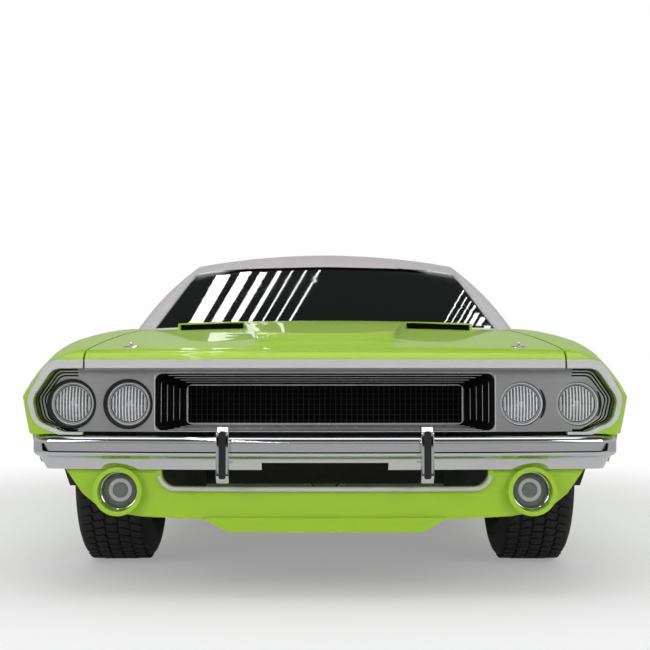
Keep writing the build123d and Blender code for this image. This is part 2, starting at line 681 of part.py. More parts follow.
# steering
COLUMN = Plane(origin=(STEER_X, -330, 780), x_dir=(1, 0, 0), z_dir=(0, cos(radians(22)), sin(radians(22))))
with BuildPart() as steering_wheel:
    with BuildSketch(Plane(origin=COLUMN.origin, x_dir=COLUMN.z_dir, z_dir=COLUMN.y_dir)):
        with Locations((0, 185)):
            RegularPolygon(12, 8)
    revolve(axis=Axis(COLUMN.origin, COLUMN.z_dir))
    with BuildSketch(COLUMN.offset(-40)):
        Circle(45)
    extrude(amount=40)
    with BuildSketch(COLUMN.offset(-12)):
        Rectangle(360, 36)
        with Locations((0, -90)):
            Rectangle(36, 180)
    extrude(amount=10)
save(steering_wheel.part, "steering_wheel")
with BuildPart() as steering_column:
    with BuildSketch(COLUMN.offset(-46)):
        Circle(32)
    extrude(amount=-330)
save((dashboard.part & under_skin) + steering_column.part + console.part, "dashboard")


def knuckle(side):
    """A kingpin post with the plate behind the brake drum."""
    with BuildPart() as post:
        with BuildSketch(Plane.XY.offset(225)):
            with Locations((side * KINGPIN_X, FRONT_AXLE_Y)):
                Circle(20)
        extrude(amount=230)
        with BuildSketch(Plane.YZ.offset(side * (KINGPIN_X + 4))):
            with Locations((FRONT_AXLE_Y, TYRE_RADIUS)):
                Circle(98)
        extrude(amount=side * 8)
    return post.part


save(knuckle(1), "knuckle_left")
save(knuckle(-1), "knuckle_right")


def tyre():
    """The tyre, turned about X, at the origin."""
    half = TYRE_WIDTH / 2
    with BuildPart() as ring:
        with BuildSketch(Plane.XY):
            with BuildLine():
                right = [(half - 20, RIM_RADIUS), (half - 4, 218), (half, 262), (half - 6, 300), (half - 20, 326),
                         (half - 36, TYRE_RADIUS)]
                Polyline(*right, *[flip(point) for point in reversed(right)], close=True)
            make_face()
        revolve(axis=Axis.X)
    return ring.part


def rim():
    """Rim barrel, five spokes, hub with studs and brake drum, turned about X. The outer face is towards +X."""
    with BuildPart() as wheel:
        with BuildSketch(Plane.XY):
            with BuildLine():
                Polyline((-108, RIM_RADIUS), (108, RIM_RADIUS), (108, RIM_RADIUS - 8), (70, RIM_RADIUS - 12),
                         (-108, RIM_RADIUS - 12), close=True)
            make_face()
        revolve(axis=Axis.X)
        with BuildSketch(Plane.YZ.offset(30)):
            with PolarLocations(0, 5):
                Polygon((0, -36), (RIM_RADIUS - 10, -22), (RIM_RADIUS - 10, 22), (0, 36), align=None)
            Circle(64)
        extrude(amount=26)
        with BuildSketch(Plane.YZ.offset(-12)):
            Circle(110)
        extrude(amount=52)
        with BuildSketch(Plane.YZ.offset(50)):
            Circle(31)
            with PolarLocations(48, 5, start_angle=36):
                RegularPolygon(10, 6)
        extrude(amount=24)
    return wheel.part


for place, axle_y in (("front", FRONT_AXLE_Y), ("rear", REAR_AXLE_Y)):
    for hand, side in (("left", 1), ("right", -1)):
        centre = Pos(side * WHEEL_X, axle_y, TYRE_RADIUS) * Rot(0, 0, 0 if side > 0 else 180)
        save(centre * tyre(), f"tyre_{place}_{hand}")
        save(centre * rim(), f"rim_{place}_{hand}")
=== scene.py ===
"""A two-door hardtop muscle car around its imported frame: finishes, trim, lamps, seats and running gear."""
import json
from math import atan2, cos, pi, radians, sin, sqrt, tan

import bmesh
import bpy
from mathutils import Matrix, Vector
from mathutils.bvhtree import BVHTree
from mathutils.interpolate import poly_3d_calc

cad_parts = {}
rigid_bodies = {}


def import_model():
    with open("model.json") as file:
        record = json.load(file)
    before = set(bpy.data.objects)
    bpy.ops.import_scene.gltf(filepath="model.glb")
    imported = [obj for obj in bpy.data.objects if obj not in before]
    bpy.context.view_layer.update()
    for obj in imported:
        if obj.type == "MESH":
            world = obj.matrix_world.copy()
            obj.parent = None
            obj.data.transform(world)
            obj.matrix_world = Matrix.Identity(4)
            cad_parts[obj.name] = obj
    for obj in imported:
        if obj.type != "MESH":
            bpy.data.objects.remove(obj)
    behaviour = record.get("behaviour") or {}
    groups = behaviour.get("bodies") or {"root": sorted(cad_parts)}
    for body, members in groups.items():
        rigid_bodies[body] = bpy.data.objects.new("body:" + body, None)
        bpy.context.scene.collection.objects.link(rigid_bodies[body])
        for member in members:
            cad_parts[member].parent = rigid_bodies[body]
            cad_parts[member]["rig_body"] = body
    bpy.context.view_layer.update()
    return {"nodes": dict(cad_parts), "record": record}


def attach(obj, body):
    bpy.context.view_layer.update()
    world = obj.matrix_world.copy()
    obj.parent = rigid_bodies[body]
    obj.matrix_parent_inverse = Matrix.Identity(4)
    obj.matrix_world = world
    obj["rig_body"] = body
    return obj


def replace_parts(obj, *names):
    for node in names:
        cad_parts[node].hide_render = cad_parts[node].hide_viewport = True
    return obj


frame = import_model()
NODES = frame["nodes"]

# driving sizes, in metres
NOSE_RADIUS = 6.125
FACE_Y = -2.345
LAMP_Z = 0.582
LAMP_FACE_Y = -2.325
LAMP_XS = (0.596, 0.770)
PARK_X, PARK_Z = 0.623, 0.320
OPENING_TOP, OPENING_BOTTOM = 0.690, 0.498
GRILLE_STEPS, GRILLE_STEP_Y = 5, 0.025
MESH_HALF = 0.434
RADIATOR_Y = -2.02
GUARD_X, GUARD_FACE_Y = 0.3015, -2.430
TYRE_RADIUS = 0.34
WHEEL_X = 0.738
AXLES = {"front": -1.5, "rear": 1.294}
HANDS = {"left": 1, "right": -1}
STEER = Vector((0.37, -0.33, 0.78))
STEER_AXIS = Vector((0, cos(radians(22)), sin(radians(22))))
EYE = Vector((0, -5.98, 0.66))

# linear colours
GREEN = (0.385, 0.620, 0.040)
GREEN_DEEP = (0.330, 0.555, 0.032)
PALE_GREY = (0.610, 0.585, 0.600)
CHROME = (0.780, 0.785, 0.800)
SILVER = (0.400, 0.400, 0.410)
BLACK = (0.008, 0.009, 0.009)
RUBBER = (0.016, 0.016, 0.017)
AMBER = (0.900, 0.330, 0.020)
RED = (0.500, 0.010, 0.012)


class Wire:
    """A node socket that can be used in plain arithmetic."""

    def __init__(self, tree, socket):
        self.tree, self.socket = tree, socket

    def _math(self, operation, *values):
        node = self.tree.nodes.new("ShaderNodeMath")
        node.operation = operation
        for socket, value in zip(node.inputs, values):
            if isinstance(value, Wire):
                self.tree.links.new(value.socket, socket)
            else:
                socket.default_value = value
        return Wire(self.tree, node.outputs[0])

    def __add__(self, other):
        return self._math("ADD", self, other)

    def __sub__(self, other):
        return self._math("SUBTRACT", self, other)

    def __mul__(self, other):
        return self._math("MULTIPLY", self, other)

    def __truediv__(self, other):
        return self._math("DIVIDE", self, other)

    def __pow__(self, other):
        return self._math("POWER", self, other)

    def __radd__(self, other):
        return self._math("ADD", other, self)

    def __rsub__(self, other):
        return self._math("SUBTRACT", other, self)

    def __rmul__(self, other):
        return self._math("MULTIPLY", other, self)

    def above(self, level):
        return self._math("GREATER_THAN", self, level)

    def wave(self):
        return self._math("SINE", self)

    def size(self):
        return self._math("ABSOLUTE", self)

    def clip(self):
        node = self._math("ADD", self, 0.0)
        node.socket.node.use_clamp = True
        return node


class Nodes:
    """A node tree under construction."""

    def node(self, kind, settings=(), output=0, **sockets):
        """Any node: its type, its settings, then its sockets' values or links by name or number."""
        made = self.tree.nodes.new(kind)
        for key, value in dict(settings).items():
            if key == "stops":
                ramp = made.color_ramp
                while len(ramp.elements) < len(value):
                    ramp.elements.new(0.5)
                for element, (place, color) in zip(ramp.elements, value):
                    element.position = place
                    element.color = (*color, 1.0)
            else:
                setattr(made, key, value)
        for key, value in sockets.items():
            numbered = key[0] == "n" and key[1:].isdigit()
            socket = made.inputs[int(key[1:])] if numbered else made.inputs[key.replace("_", " ")]
            if isinstance(value, Wire):
                self.tree.links.new(value.socket, socket)
            else:
                socket.default_value = value
        return Wire(self.tree, made.outputs[output])


class Finish(Nodes):
    """A material under construction: one Principled shader and the nodes that feed it."""

    def __init__(self, name, color, roughness, metallic=0.0, **fixed):
        self.material = bpy.data.materials.new(name)
        self.material.use_nodes = True
        self.tree = self.material.node_tree
        self.shader = self.tree.nodes["Principled BSDF"]
        self.set("Base Color", (*color, 1.0))
        self.set("Roughness", roughness)
        self.set("Metallic", metallic)
        for socket, value in fixed.items():
            self.set(socket.replace("_", " "), value)

    def set(self, socket, value):
        target = self.shader.inputs[socket]
        if isinstance(value, Wire):
            self.tree.links.new(value.socket, target)
        else:
            target.default_value = value
        return self

    def place(self, scale=(1, 1, 1), turn=(0, 0, 0)):
        """Object coordinates, scaled and turned."""
        spot = self.node("ShaderNodeTexCoord", output="Object")
        return self.node("ShaderNodeMapping", Vector=spot, Scale=scale, Rotation=turn)

    def axis(self, index):
        """One coordinate of the place."""
        return self.node("ShaderNodeSeparateXYZ", output=index, Vector=self.place())

    def noise(self, scale, detail=3.0, vector=None):
        return self.node("ShaderNodeTexNoise", Vector=vector or self.place(), Scale=scale, Detail=detail)

    def cells(self, scale, feature="F1"):
        return self.node("ShaderNodeTexVoronoi", {"feature": feature}, Vector=self.place(), Scale=scale)

    def blend(self, mask, color_a, color_b):
        """color_a where mask is 0 and color_b where it is 1."""
        def shade(color):
            return color if isinstance(color, Wire) else (*color, 1.0)
        return self.node("ShaderNodeMix", {"data_type": "RGBA"}, 2, n0=mask, n6=shade(color_a),
                         n7=shade(color_b))

    def bump(self, height, distance, strength=1.0):
        self.set("Normal", self.node("ShaderNodeBump", Height=height, Distance=distance, Strength=strength))
        return self


class Shape(Nodes):
    """A Geometry Nodes tree under construction, with named inputs for its sizes and its material."""

    def __init__(self, name, **inputs):
        self.tree = bpy.data.node_groups.new(name, "GeometryNodeTree")
        face = self.tree.interface
        face.new_socket("Geometry", in_out="INPUT", socket_type="NodeSocketGeometry")
        for key, kind in inputs.items():
            face.new_socket(key, in_out="INPUT", socket_type=f"NodeSocket{kind}")
        face.new_socket("Material", in_out="INPUT", socket_type="NodeSocketMaterial")
        face.new_socket("Geometry", in_out="OUTPUT", socket_type="NodeSocketGeometry")
        self.entry = self.tree.nodes.new("NodeGroupInput")

    def input(self, name):
        return Wire(self.tree, self.entry.outputs[name])

    def close(self, geometry):
        """Realizes what was instanced, gives it the material and returns the whole tree."""
        real = self.node("GeometryNodeRealizeInstances", Geometry=geometry)
        done = self.node("GeometryNodeSetMaterial", Geometry=real, Material=self.input("Material"))
        self.tree.links.new(done.socket, self.tree.nodes.new("NodeGroupOutput").inputs[0])
        return self.tree


def paint():
    """Solid green enamel under clear coat, with a faint depth variation and orange peel."""
    f = Finish("green_paint", GREEN, 0.40, Coat_Weight=0.40, Coat_Roughness=0.04, Specular_IOR_Level=0.2)
    f.set("Base Color", f.blend(f.noise(2.2, 2.0) * 0.5, GREEN, GREEN_DEEP))
    f.set("Roughness", 0.36 + f.noise(40.0) * 0.08)
    return f.bump(f.noise(260.0, 2.0), 0.00012, 0.5).material


def roof_cover():
    """Pale grained vinyl stretched over the roof."""
    f = Finish("roof_cover", PALE_GREY, 0.5, Specular_IOR_Level=0.3)
    grain = f.cells(420.0, "DISTANCE_TO_EDGE")
    f.set("Base Color", f.blend((grain * 3.0).clip(), (0.50, 0.48, 0.49), PALE_GREY))
    f.set("Roughness", 0.46 + f.noise(30.0) * 0.12)
    return f.bump(grain, 0.0012, 0.5).material


def chrome():
    """Bright plating with faint haze."""
    f = Finish("chrome", CHROME, 0.06, 1.0)
    f.set("Roughness", 0.04 + f.noise(18.0) * 0.05)
    f.set("Base Color", f.blend(f.noise(6.0), CHROME, (0.70, 0.71, 0.73)))
    return f.bump(f.noise(8.0, 1.0), 0.0003, 0.12).material


def silver():
    """Argent paint on pressed metal."""
    f = Finish("silver", SILVER, 0.3, 0.8, Coat_Weight=0.5, Coat_Roughness=0.1)
    f.set("Roughness", 0.26 + f.noise(120.0) * 0.12)
    f.set("Base Color", f.blend(f.noise(900.0, 1.0), SILVER, (0.47, 0.47, 0.48)))
    return f.bump(f.noise(700.0), 0.0001, 0.4).material


def black_metal():
    """Satin black stove enamel."""
    f = Finish("black_metal", BLACK, 0.45, Specular_IOR_Level=0.3)
    f.set("Roughness", 0.4 + f.noise(60.0) * 0.15)
    f.set("Base Color", f.blend(f.noise(14.0), BLACK, (0.014, 0.014, 0.015)))
    return f.bump(f.noise(400.0), 0.0002, 0.4).material


def underbody():
    """Rough black underseal with a little road dust."""
    f = Finish("underbody", (0.014, 0.014, 0.014), 0.75)
    dust = (f.noise(5.0, 5.0) - 0.45) * 3.0
    f.set("Base Color", f.blend(dust.clip() * 0.5, (0.014, 0.014, 0.014), (0.050, 0.046, 0.040)))
    f.set("Roughness", 0.62 + f.noise(50.0) * 0.25)
    return f.bump(f.noise(120.0, 4.0), 0.002, 0.6).material


def tinted_glass():
    """Dark tinted window glass."""
    f = Finish("glass", (0.004, 0.005, 0.005), 0.02, Alpha=0.93, IOR=1.5)
    f.set("Roughness", 0.012 + f.noise(6.0) * 0.012)
    f.set("Base Color", f.blend(f.noise(1.5), (0.003, 0.004, 0.004), (0.006, 0.008, 0.008)))
    return f.material


def clear_glass():
    """Clear pressed lamp glass."""
    f = Finish("lamp_glass", (0.92, 0.94, 0.96), 0.04, Alpha=0.10)
    f.set("Roughness", 0.03 + f.noise(30.0) * 0.03)
    return f.material


def tinted_lamp(name, color, glow):
    """Ribbed coloured lamp plastic, a little translucent."""
    f = Finish(name, color, 0.12, Coat_Weight=1.0, Coat_Roughness=0.03, Emission_Strength=0.12)
    ribs = (f.axis(0) * 900.0).wave() * 0.5 + 0.5
    f.set("Emission Color", f.blend(ribs, color, glow))
    f.set("Base Color", f.blend(f.noise(20.0) * ribs, color, glow))
    return f.bump(ribs, 0.0008, 0.6).material


def steel():
    """Bare pressed steel with light oxide."""
    bright, dull = (0.32, 0.32, 0.33), (0.19, 0.185, 0.18)
    f = Finish("steel", bright, 0.38, 0.9)
    f.set("Roughness", 0.36 + f.noise(40.0, 4.0) * 0.25)
    f.set("Base Color", f.blend(f.noise(9.0, 4.0), bright, dull))
    return f.bump(f.noise(90.0), 0.0005, 0.4).material


def iron():
    """Cast iron with satin black paint."""
    f = Finish("iron", (0.045, 0.046, 0.048), 0.6, 0.3)
    f.set("Roughness", 0.5 + f.noise(60.0) * 0.2)
    f.set("Base Color", f.blend(f.noise(12.0, 4.0), (0.035, 0.036, 0.038), (0.075, 0.07, 0.066)))
    return f.bump(f.noise(160.0, 4.0), 0.0015, 0.7).material


def tyre_rubber():
    """Black tyre rubber, dusty in the grooves."""
    f = Finish("tyre", RUBBER, 0.7, Specular_IOR_Level=0.3)
    f.set("Base Color", f.blend(f.noise(14.0, 4.0), RUBBER, (0.028, 0.027, 0.026)))
    f.set("Roughness", 0.6 + f.noise(80.0) * 0.2)
    return f.bump(f.noise(500.0, 2.0), 0.0004, 0.5).material


def moulded_plastic():
    """Grained black trim plastic."""
    f = Finish("trim", (0.020, 0.020, 0.021), 0.5)
    grain = f.cells(700.0)
    f.set("Base Color", f.blend(f.noise(10.0), (0.017, 0.017, 0.018), (0.028, 0.028, 0.029)))
    f.set("Roughness", 0.42 + grain * 0.15)
    return f.bump(grain, 0.0006, 0.5).material


def headlining():
    """Perforated black headlining."""
    f = Finish("headlining", (0.03, 0.03, 0.031), 0.7)
    holes = f.cells(160.0).above(0.18)
    f.set("Base Color", f.blend(holes, (0.006, 0.006, 0.006), (0.032, 0.032, 0.033)))
    f.set("Roughness", 0.6 + f.noise(30.0) * 0.15)
    return f.bump(holes, 0.0006, 0.5).material


def carpet():
    """Short black loop carpet."""
    f = Finish("carpet", (0.012, 0.012, 0.013), 0.95, Sheen_Weight=0.3)
    pile = f.noise(420.0, 2.0)
    f.set("Base Color", f.blend(pile, (0.006, 0.006, 0.007), (0.030, 0.030, 0.031)))
    return f.bump(pile, 0.003, 0.8).material


def seat_vinyl():
    """Black grained vinyl."""
    f = Finish("seat", (0.024, 0.024, 0.026), 0.4, Specular_IOR_Level=0.5)
    grain = f.cells(520.0, "DISTANCE_TO_EDGE")
    f.set("Base Color", f.blend((grain * 4.0).clip(), (0.012, 0.012, 0.013), (0.030, 0.030, 0.032)))
    f.set("Roughness", 0.36 + f.noise(25.0) * 0.14)
    return f.bump(grain, 0.0010, 0.5).material


def lamp_bowl():
    """Mirror-bright lamp reflector with a faint uneven tone."""
    f = Finish("bowl", (0.62, 0.64, 0.67), 0.12, 1.0)
    f.set("Roughness", 0.10 + f.noise(30.0) * 0.08)
    f.set("Base Color", f.blend(f.noise(9.0), (0.60, 0.62, 0.65), (0.70, 0.72, 0.75)))
    return f.material


def bright_metal():
    """Polished aluminium edge."""
    f = Finish("bright", (0.72, 0.72, 0.73), 0.25, 0.3)
    f.set("Roughness", 0.22 + f.noise(60.0) * 0.08)
    f.set("Base Color", f.blend(f.noise(20.0), (0.68, 0.68, 0.69), (0.78, 0.78, 0.79)))
    return f.material


def pale_enamel():
    """Light grey enamel."""
    f = Finish("pale", (0.56, 0.56, 0.57), 0.35)
    f.set("Roughness", 0.32 + f.noise(50.0) * 0.08)
    f.set("Base Color", f.blend(f.noise(8.0), (0.53, 0.53, 0.54), (0.60, 0.60, 0.61)))
    return f.material


def soft_rubber():
    """Dull black moulded rubber."""
    f = Finish("rubber", RUBBER, 0.65, Specular_IOR_Level=0.25)
    f.set("Roughness", 0.6 + f.noise(60.0) * 0.15)
    f.set("Base Color", f.blend(f.noise(16.0), RUBBER, (0.024, 0.024, 0.025)))
    return f.bump(f.noise(600.0), 0.0003, 0.4).material


def frosted_glow():
    """Pale moulded glass with a faint painted glow."""
    f = Finish("frosted_glow", (0.80, 0.81, 0.82), 0.2, Alpha=0.85, Emission_Strength=0.10)
    f.set("Roughness", 0.15 + f.noise(40.0) * 0.1)
    f.set("Emission Color", f.blend(f.noise(15.0), (0.80, 0.82, 0.84), (0.95, 0.96, 0.97)))
    return f.material


def black_and_painted_shade():
    """Painted shade: near-black for unlit space behind a grille, in openings, hollows and grooves, and the
    black of dial faces.
    """
    f = Finish("black_and_painted_shade", (0.002, 0.002, 0.002), 0.9, Specular_IOR_Level=0.1)
    f.set("Base Color", f.blend(f.noise(20.0), (0.0015, 0.0015, 0.0015), (0.004, 0.004, 0.004)))
    return f.material


MATERIALS = {
    "green_paint": paint(), "roof_cover": roof_cover(), "chrome": chrome(), "silver": silver(),
    "black_metal": black_metal(), "underbody": underbody(), "glass": tinted_glass(),
             "lamp_glass": clear_glass(),
    "amber": tinted_lamp("amber", AMBER, (1.0, 0.5, 0.08)),
             "red": tinted_lamp("red", RED, (0.8, 0.03, 0.02)),
    "steel": steel(), "iron": iron(), "tyre": tyre_rubber(), "trim": moulded_plastic(),
             "seat": seat_vinyl(),
    "headlining": headlining(), "carpet": carpet(), "bowl": lamp_bowl(), "bright": bright_metal(),
    "pale": pale_enamel(), "rubber": soft_rubber(), "black_and_painted_shade": black_and_painted_shade(), "frosted_glow": frosted_glow(),
}
SLOT_OF = {row["node"]: row["material_slot"] for row in frame["record"]["subparts"]}
SLOTS = set(SLOT_OF.values())


def finish_piece(piece, body, slot, material=None):
    """Every new piece: its material, which the slot gives unless one is named, and its body."""
    piece.data.materials.clear()
    piece.data.materials.append(MATERIALS[material or slot])
    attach(piece, body)
    slot in SLOTS
    return piece


def linked(name, data):
    """A new object in the scene."""
    piece = bpy.data.objects.new(name, data)
    bpy.context.scene.collection.objects.link(piece)
    return piece


def mesh_piece(name, build, merge=0.00001):
    """A mesh object from a function that fills a bmesh. Doubles are merged and faces point outwards."""
    bm = bmesh.new()
    build(bm)
    bmesh.ops.remove_doubles(bm, verts=bm.verts, dist=merge)
    bmesh.ops.recalc_face_normals(bm, faces=bm.faces)
    data = bpy.data.meshes.new(name)
    bm.to_mesh(data)
    bm.free()
    return linked(name, data)


def smooth(piece, degrees=35):
    """Smooth shading with edges sharper than this kept crisp."""
    piece.data.shade_smooth()
    piece.data.set_sharp_from_angle(angle=radians(degrees))
    return piece


def settle(piece):
    """The piece's modifiers turned into plain mesh."""
    result = bpy.data.meshes.new_from_object(piece.evaluated_get(bpy.context.evaluated_depsgraph_get()))
    piece.modifiers.clear()
    piece.data = result
    return piece


def made(name, body, slot, build, degrees=35, material=None):
    """A finished, smoothly shaded piece."""
    return finish_piece(smooth(mesh_piece(name, build), degrees), body, slot, material)


def true_nose(data):
    """Exact shading normals on faces that follow the front's plan curve."""
    centre_y = FACE_Y + NOSE_RADIUS
    normals = [corner.vector.copy() for corner in data.corner_normals]
    for face in data.polygons:
        for loop in face.loop_indices:
            spot = data.vertices[data.loops[loop].vertex_index].co
            exact = Vector((spot.x, spot.y - centre_y, 0)).normalized()
            if face.normal.dot(exact) > 0.96:
                normals[loop] = exact
    data.normals_split_custom_set(normals)


def dress(node, lining=None, heart=(0, 0.25, 0.85), degrees=28):
    """A CAD node's own shape, shaded smoothly. Faces turned to the cabin's heart may have a lining."""
    piece = linked(f"{node}_skin", NODES[node].data.copy())
    bm = bmesh.new()
    bm.from_mesh(piece.data)
    bmesh.ops.remove_doubles(bm, verts=bm.verts, dist=0.00002)
    bm.to_mesh(piece.data)
    bm.free()
    smooth(piece, degrees)
    weigh = piece.modifiers.new("weigh", "WEIGHTED_NORMAL")
    weigh.keep_sharp = True
    settle(piece)
    if node in ON_NOSE:
        true_nose(piece.data)
    piece.data.materials.clear()
    piece.data.materials.append(MATERIALS[REPAINTED.get(node, SLOT_OF[node])])
    if lining:
        piece.data.materials.append(MATERIALS[lining])
        for face in piece.data.polygons:
            if face.normal.dot(Vector(heart) - face.center) > 0.25 and abs(face.center.x) < 0.793:
                face.material_index = 1
    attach(piece, NODES[node]["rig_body"])
    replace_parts(piece, node)
    return piece


LININGS = {"roof": "headlining", "door_left": "trim", "door_right": "trim", "floor_pan": "carpet",
           "quarter_left": "trim", "quarter_right": "trim", "firewall": "carpet"}
ON_NOSE = {"front_valance", "hood_moulding", "fender_mouldings", "lamp_panel"}
# The grille shell is repainted near-black: painted shade inside the grille opening.
REPAINTED = {"hood_moulding": "pale", "fender_mouldings": "pale", "grille_shell": "black_and_painted_shade"}
REMADE = {"headlamps", "headlamp_rims", "park_lamps", "grille_mesh", "front_seats", "rear_seat",
          "steering_wheel",
          "front_bumper", "rear_bumper"}
REMADE |= {node for node in NODES if node.startswith("tyre_")}
SKINS = {node: dress(node, LININGS.get(node)) for node in sorted(NODES) if node not in REMADE}


class Surface:
    """A dressed node's surface, for placing pieces on it."""

    def __init__(self, node):
        self.data = SKINS[node].data
        self.corners = [tuple(face.vertices) for face in self.data.polygons]
        self.tree = BVHTree.FromPolygons([v.co for v in self.data.vertices], self.corners)

    def hit(self, origin, direction):
        """Where a ray meets the surface, and the smooth normal there."""
        point, normal, index, _ = self.tree.ray_cast(Vector(origin), Vector(direction).normalized())
        if point is None:
            return None, None
        face = self.data.polygons[index]
        shares = poly_3d_calc([self.data.vertices[i].co for i in face.vertices], point)
        normals = [self.data.corner_normals[i].vector for i in face.loop_indices]
        return point, sum((share * n for share, n in zip(shares, normals)), Vector()).normalized()


def nose_y(x, front=FACE_Y):
    """Y of the front's plan curve at x."""
    return front + NOSE_RADIUS - sqrt(NOSE_RADIUS ** 2 - x * x)


def rounded(corners, radius, steps=7):
    """A closed flat outline with each corner turned into an arc."""
    loop = []
    for index, corner in enumerate(corners):
        here = Vector(corner)
        before = (Vector(corners[index - 1]) - here).normalized()
        after = (Vector(corners[(index + 1) % len(corners)]) - here).normalized()
        half = before.angle(after) / 2
        centre = here + (before + after).normalized() * radius / sin(half)
        start = here + before * radius / tan(half) - centre
        turn = pi - 2 * half
        if before.x * after.y - before.y * after.x > 0:
            turn = -turn
        for step in range(steps + 1):
            angle = turn * step / steps
            arm = Vector((start.x * cos(angle) - start.y * sin(angle),
                          start.x * sin(angle) + start.y * cos(angle)))
            loop.append(centre + arm)
    return loop


def divided(loop, longest, closed=True):
    """The outline with points added so that no stretch is longer than this."""
    ends = loop[1:] + loop[:1] if closed else loop[1:]
    fine = []
    for start, end in zip(loop, ends):
        count = max(1, int((Vector(end) - Vector(start)).length / longest))
        fine += [Vector(start).lerp(Vector(end), step / count) for step in range(count)]
    return fine + [fine[0] if closed else Vector(loop[-1])]


def on_nose(loop, front=FACE_Y):
    """A flat x, z outline laid on the front's plan curve."""
    return [Vector((p[0], nose_y(p[0], front), p[1])) for p in loop]


def facing(point, direction, up=(0, 0, 1)):
    """A frame at point whose Z axis looks along direction."""
    z = Vector(direction).normalized()
    x = Vector(up).cross(z)
    x = x.normalized() if x.length > 0.001 else Vector((1, 0, 0))
    turn = Matrix((x, z.cross(x), z)).transposed()
    return Matrix.Translation(Vector(point)) @ turn.to_4x4()


def full_turn(count):
    """Even angles round a circle."""
    return [2 * pi * k / count for k in range(count)]


def lamp_spot(x, z):
    """A frame on the lamps' plane that looks forward."""
    return facing((x, nose_y(x, LAMP_FACE_Y), z), (0, -1, 0))


def turned(bm, profile, place, segments=48, closed=False):
    """Revolves (radius, along) points about the Z axis of a frame."""
    rings = []
    for radius, along in profile:
        count = segments if radius > 0.00001 else 1
        rings.append([bm.verts.new(place @ Vector((radius * cos(angle), radius * sin(angle), along)))
                      for angle in full_turn(count)])
    ends = rings[1:] + rings[:1] if closed else rings[1:]
    for near, far in zip(rings, ends):
        for i in range(segments):
            j = (i + 1) % segments
            corners = [near[i % len(near)], near[j % len(near)], far[j % len(far)], far[i % len(far)]]
            corners = list(dict.fromkeys(corners))
            if len(corners) > 2:
                bm.faces.new(corners)


def block(bm, place, size, bevel=0.0):
    """A box with rounded edges, centred in a frame."""
    made_verts = bmesh.ops.create_cube(bm, size=1.0, matrix=place @ Matrix.Diagonal((*size, 1)))["verts"]
    if bevel:
        edges = list({edge for vert in made_verts for edge in vert.link_edges})
        bmesh.ops.bevel(bm, geom=edges, offset=bevel, segments=2, affect="EDGES", profile=0.5)


def rod_tree():
    """Round bar along every edge chain of the source."""
    shape = Shape("rod", Radius="Float", Sides="Int")
    line = shape.node("GeometryNodeMeshToCurve", Mesh=shape.input("Geometry"))
    ring = shape.node("GeometryNodeCurvePrimitiveCircle", Resolution=shape.input("Sides"),
                      Radius=shape.input("Radius"))
    return shape.close(shape.node("GeometryNodeCurveToMesh", Curve=line, Profile_Curve=ring,
                                  Fill_Caps=True))


def scatter_tree():
    """A copy of Item at every vertex of the source, turned by the vertex's facing and along."""
    shape = Shape("scatter", Item="Object", Size="Float")
    item = shape.node("GeometryNodeObjectInfo", output="Geometry", Object=shape.input("Item"),
                      As_Instance=True)
    look = shape.node("GeometryNodeInputNamedAttribute", {"data_type": "FLOAT_VECTOR"}, Name="facing")
    along = shape.node("GeometryNodeInputNamedAttribute", {"data_type": "FLOAT_VECTOR"}, Name="along")
    turn = shape.node("FunctionNodeAxesToRotation", {"primary_axis": "Z", "secondary_axis": "X"}, n0=look,
                      n1=along)
    return shape.close(shape.node("GeometryNodeInstanceOnPoints", Points=shape.input("Geometry"),
                                  Instance=item,
                                  Rotation=turn, Scale=shape.input("Size")))


ROD, SCATTER = rod_tree(), scatter_tree()


def grow(name, tree, source, body, slot, material=None, degrees=40, **sizes):
    """Runs a tree on a source mesh and keeps its result as a plain mesh."""
    piece = linked(name, source)
    modifier = piece.modifiers.new("growth", "NODES")
    modifier.node_group = tree
    sizes["Material"] = MATERIALS[material or slot]
    for item in tree.interface.items_tree:
        if item.in_out == "INPUT" and item.name in sizes:
            modifier[item.identifier] = sizes[item.name]
    return finish_piece(smooth(settle(piece), degrees), body, slot, material)


def rod(name, paths, radius, body, slot, sides=8, material=None):
    """Round bars along paths. A path that ends where it starts is a closed loop."""
    points, edges = [], []
    for path in paths:
        closed = (Vector(path[0]) - Vector(path[-1])).length < 0.00001
        first, count = len(points), len(path) - closed
        points += [tuple(p) for p in path[:count]]
        edges += [(first + i, first + i + 1) for i in range(count - 1)]
        if closed:
            edges.append((first + count - 1, first))
    source = bpy.data.meshes.new(name)
    source.from_pydata(points, edges, [])
    return grow(name, ROD, source, body, slot, material, Radius=radius, Sides=sides)


def scatter(name, build_item, spots, body, slot, material=None, degrees=35):
    """Copies of a small shape at (point, facing, along) spots."""
    item = mesh_piece(name + "_item", build_item)
    source = bpy.data.meshes.new(name)
    source.from_pydata([tuple(spot[0]) for spot in spots], [], [])
    for index, key in ((1, "facing"), (2, "along")):
        values = [number for spot in spots for number in spot[index]]
        source.attributes.new(key, "FLOAT_VECTOR", "POINT").data.foreach_set("vector", values)
    piece = grow(name, SCATTER, source, body, slot, material, degrees, Item=item, Size=1.0)
    bpy.data.objects.remove(item)
    return piece


def headlamp(bm, x, z):
    """Reflector bowl of one lamp."""
    place = lamp_spot(x, z)
    bowl = [(0.0, -0.048), (0.018, -0.046), (0.036, -0.036), (0.050, -0.020), (0.0585, -0.002),
            (0.060, 0.0)]
    turned(bm, bowl, place)


def lamp_rim(bm, x, z):
    place = lamp_spot(x, z)
    section = [(0.0635 + 0.0036 * cos(a), 0.004 + 0.0075 * sin(a)) for a in full_turn(14)]
    turned(bm, section, place, 56, closed=True)


def lamp_lens(bm, x, z):
    place = lamp_spot(x, z)
    dome = [(0.0, 0.012), (0.015, 0.0116), (0.030, 0.0098), (0.045, 0.0058), (0.0540, 0.0012)]
    turned(bm, dome + [(r, along - 0.003) for r, along in reversed(dome)], place)


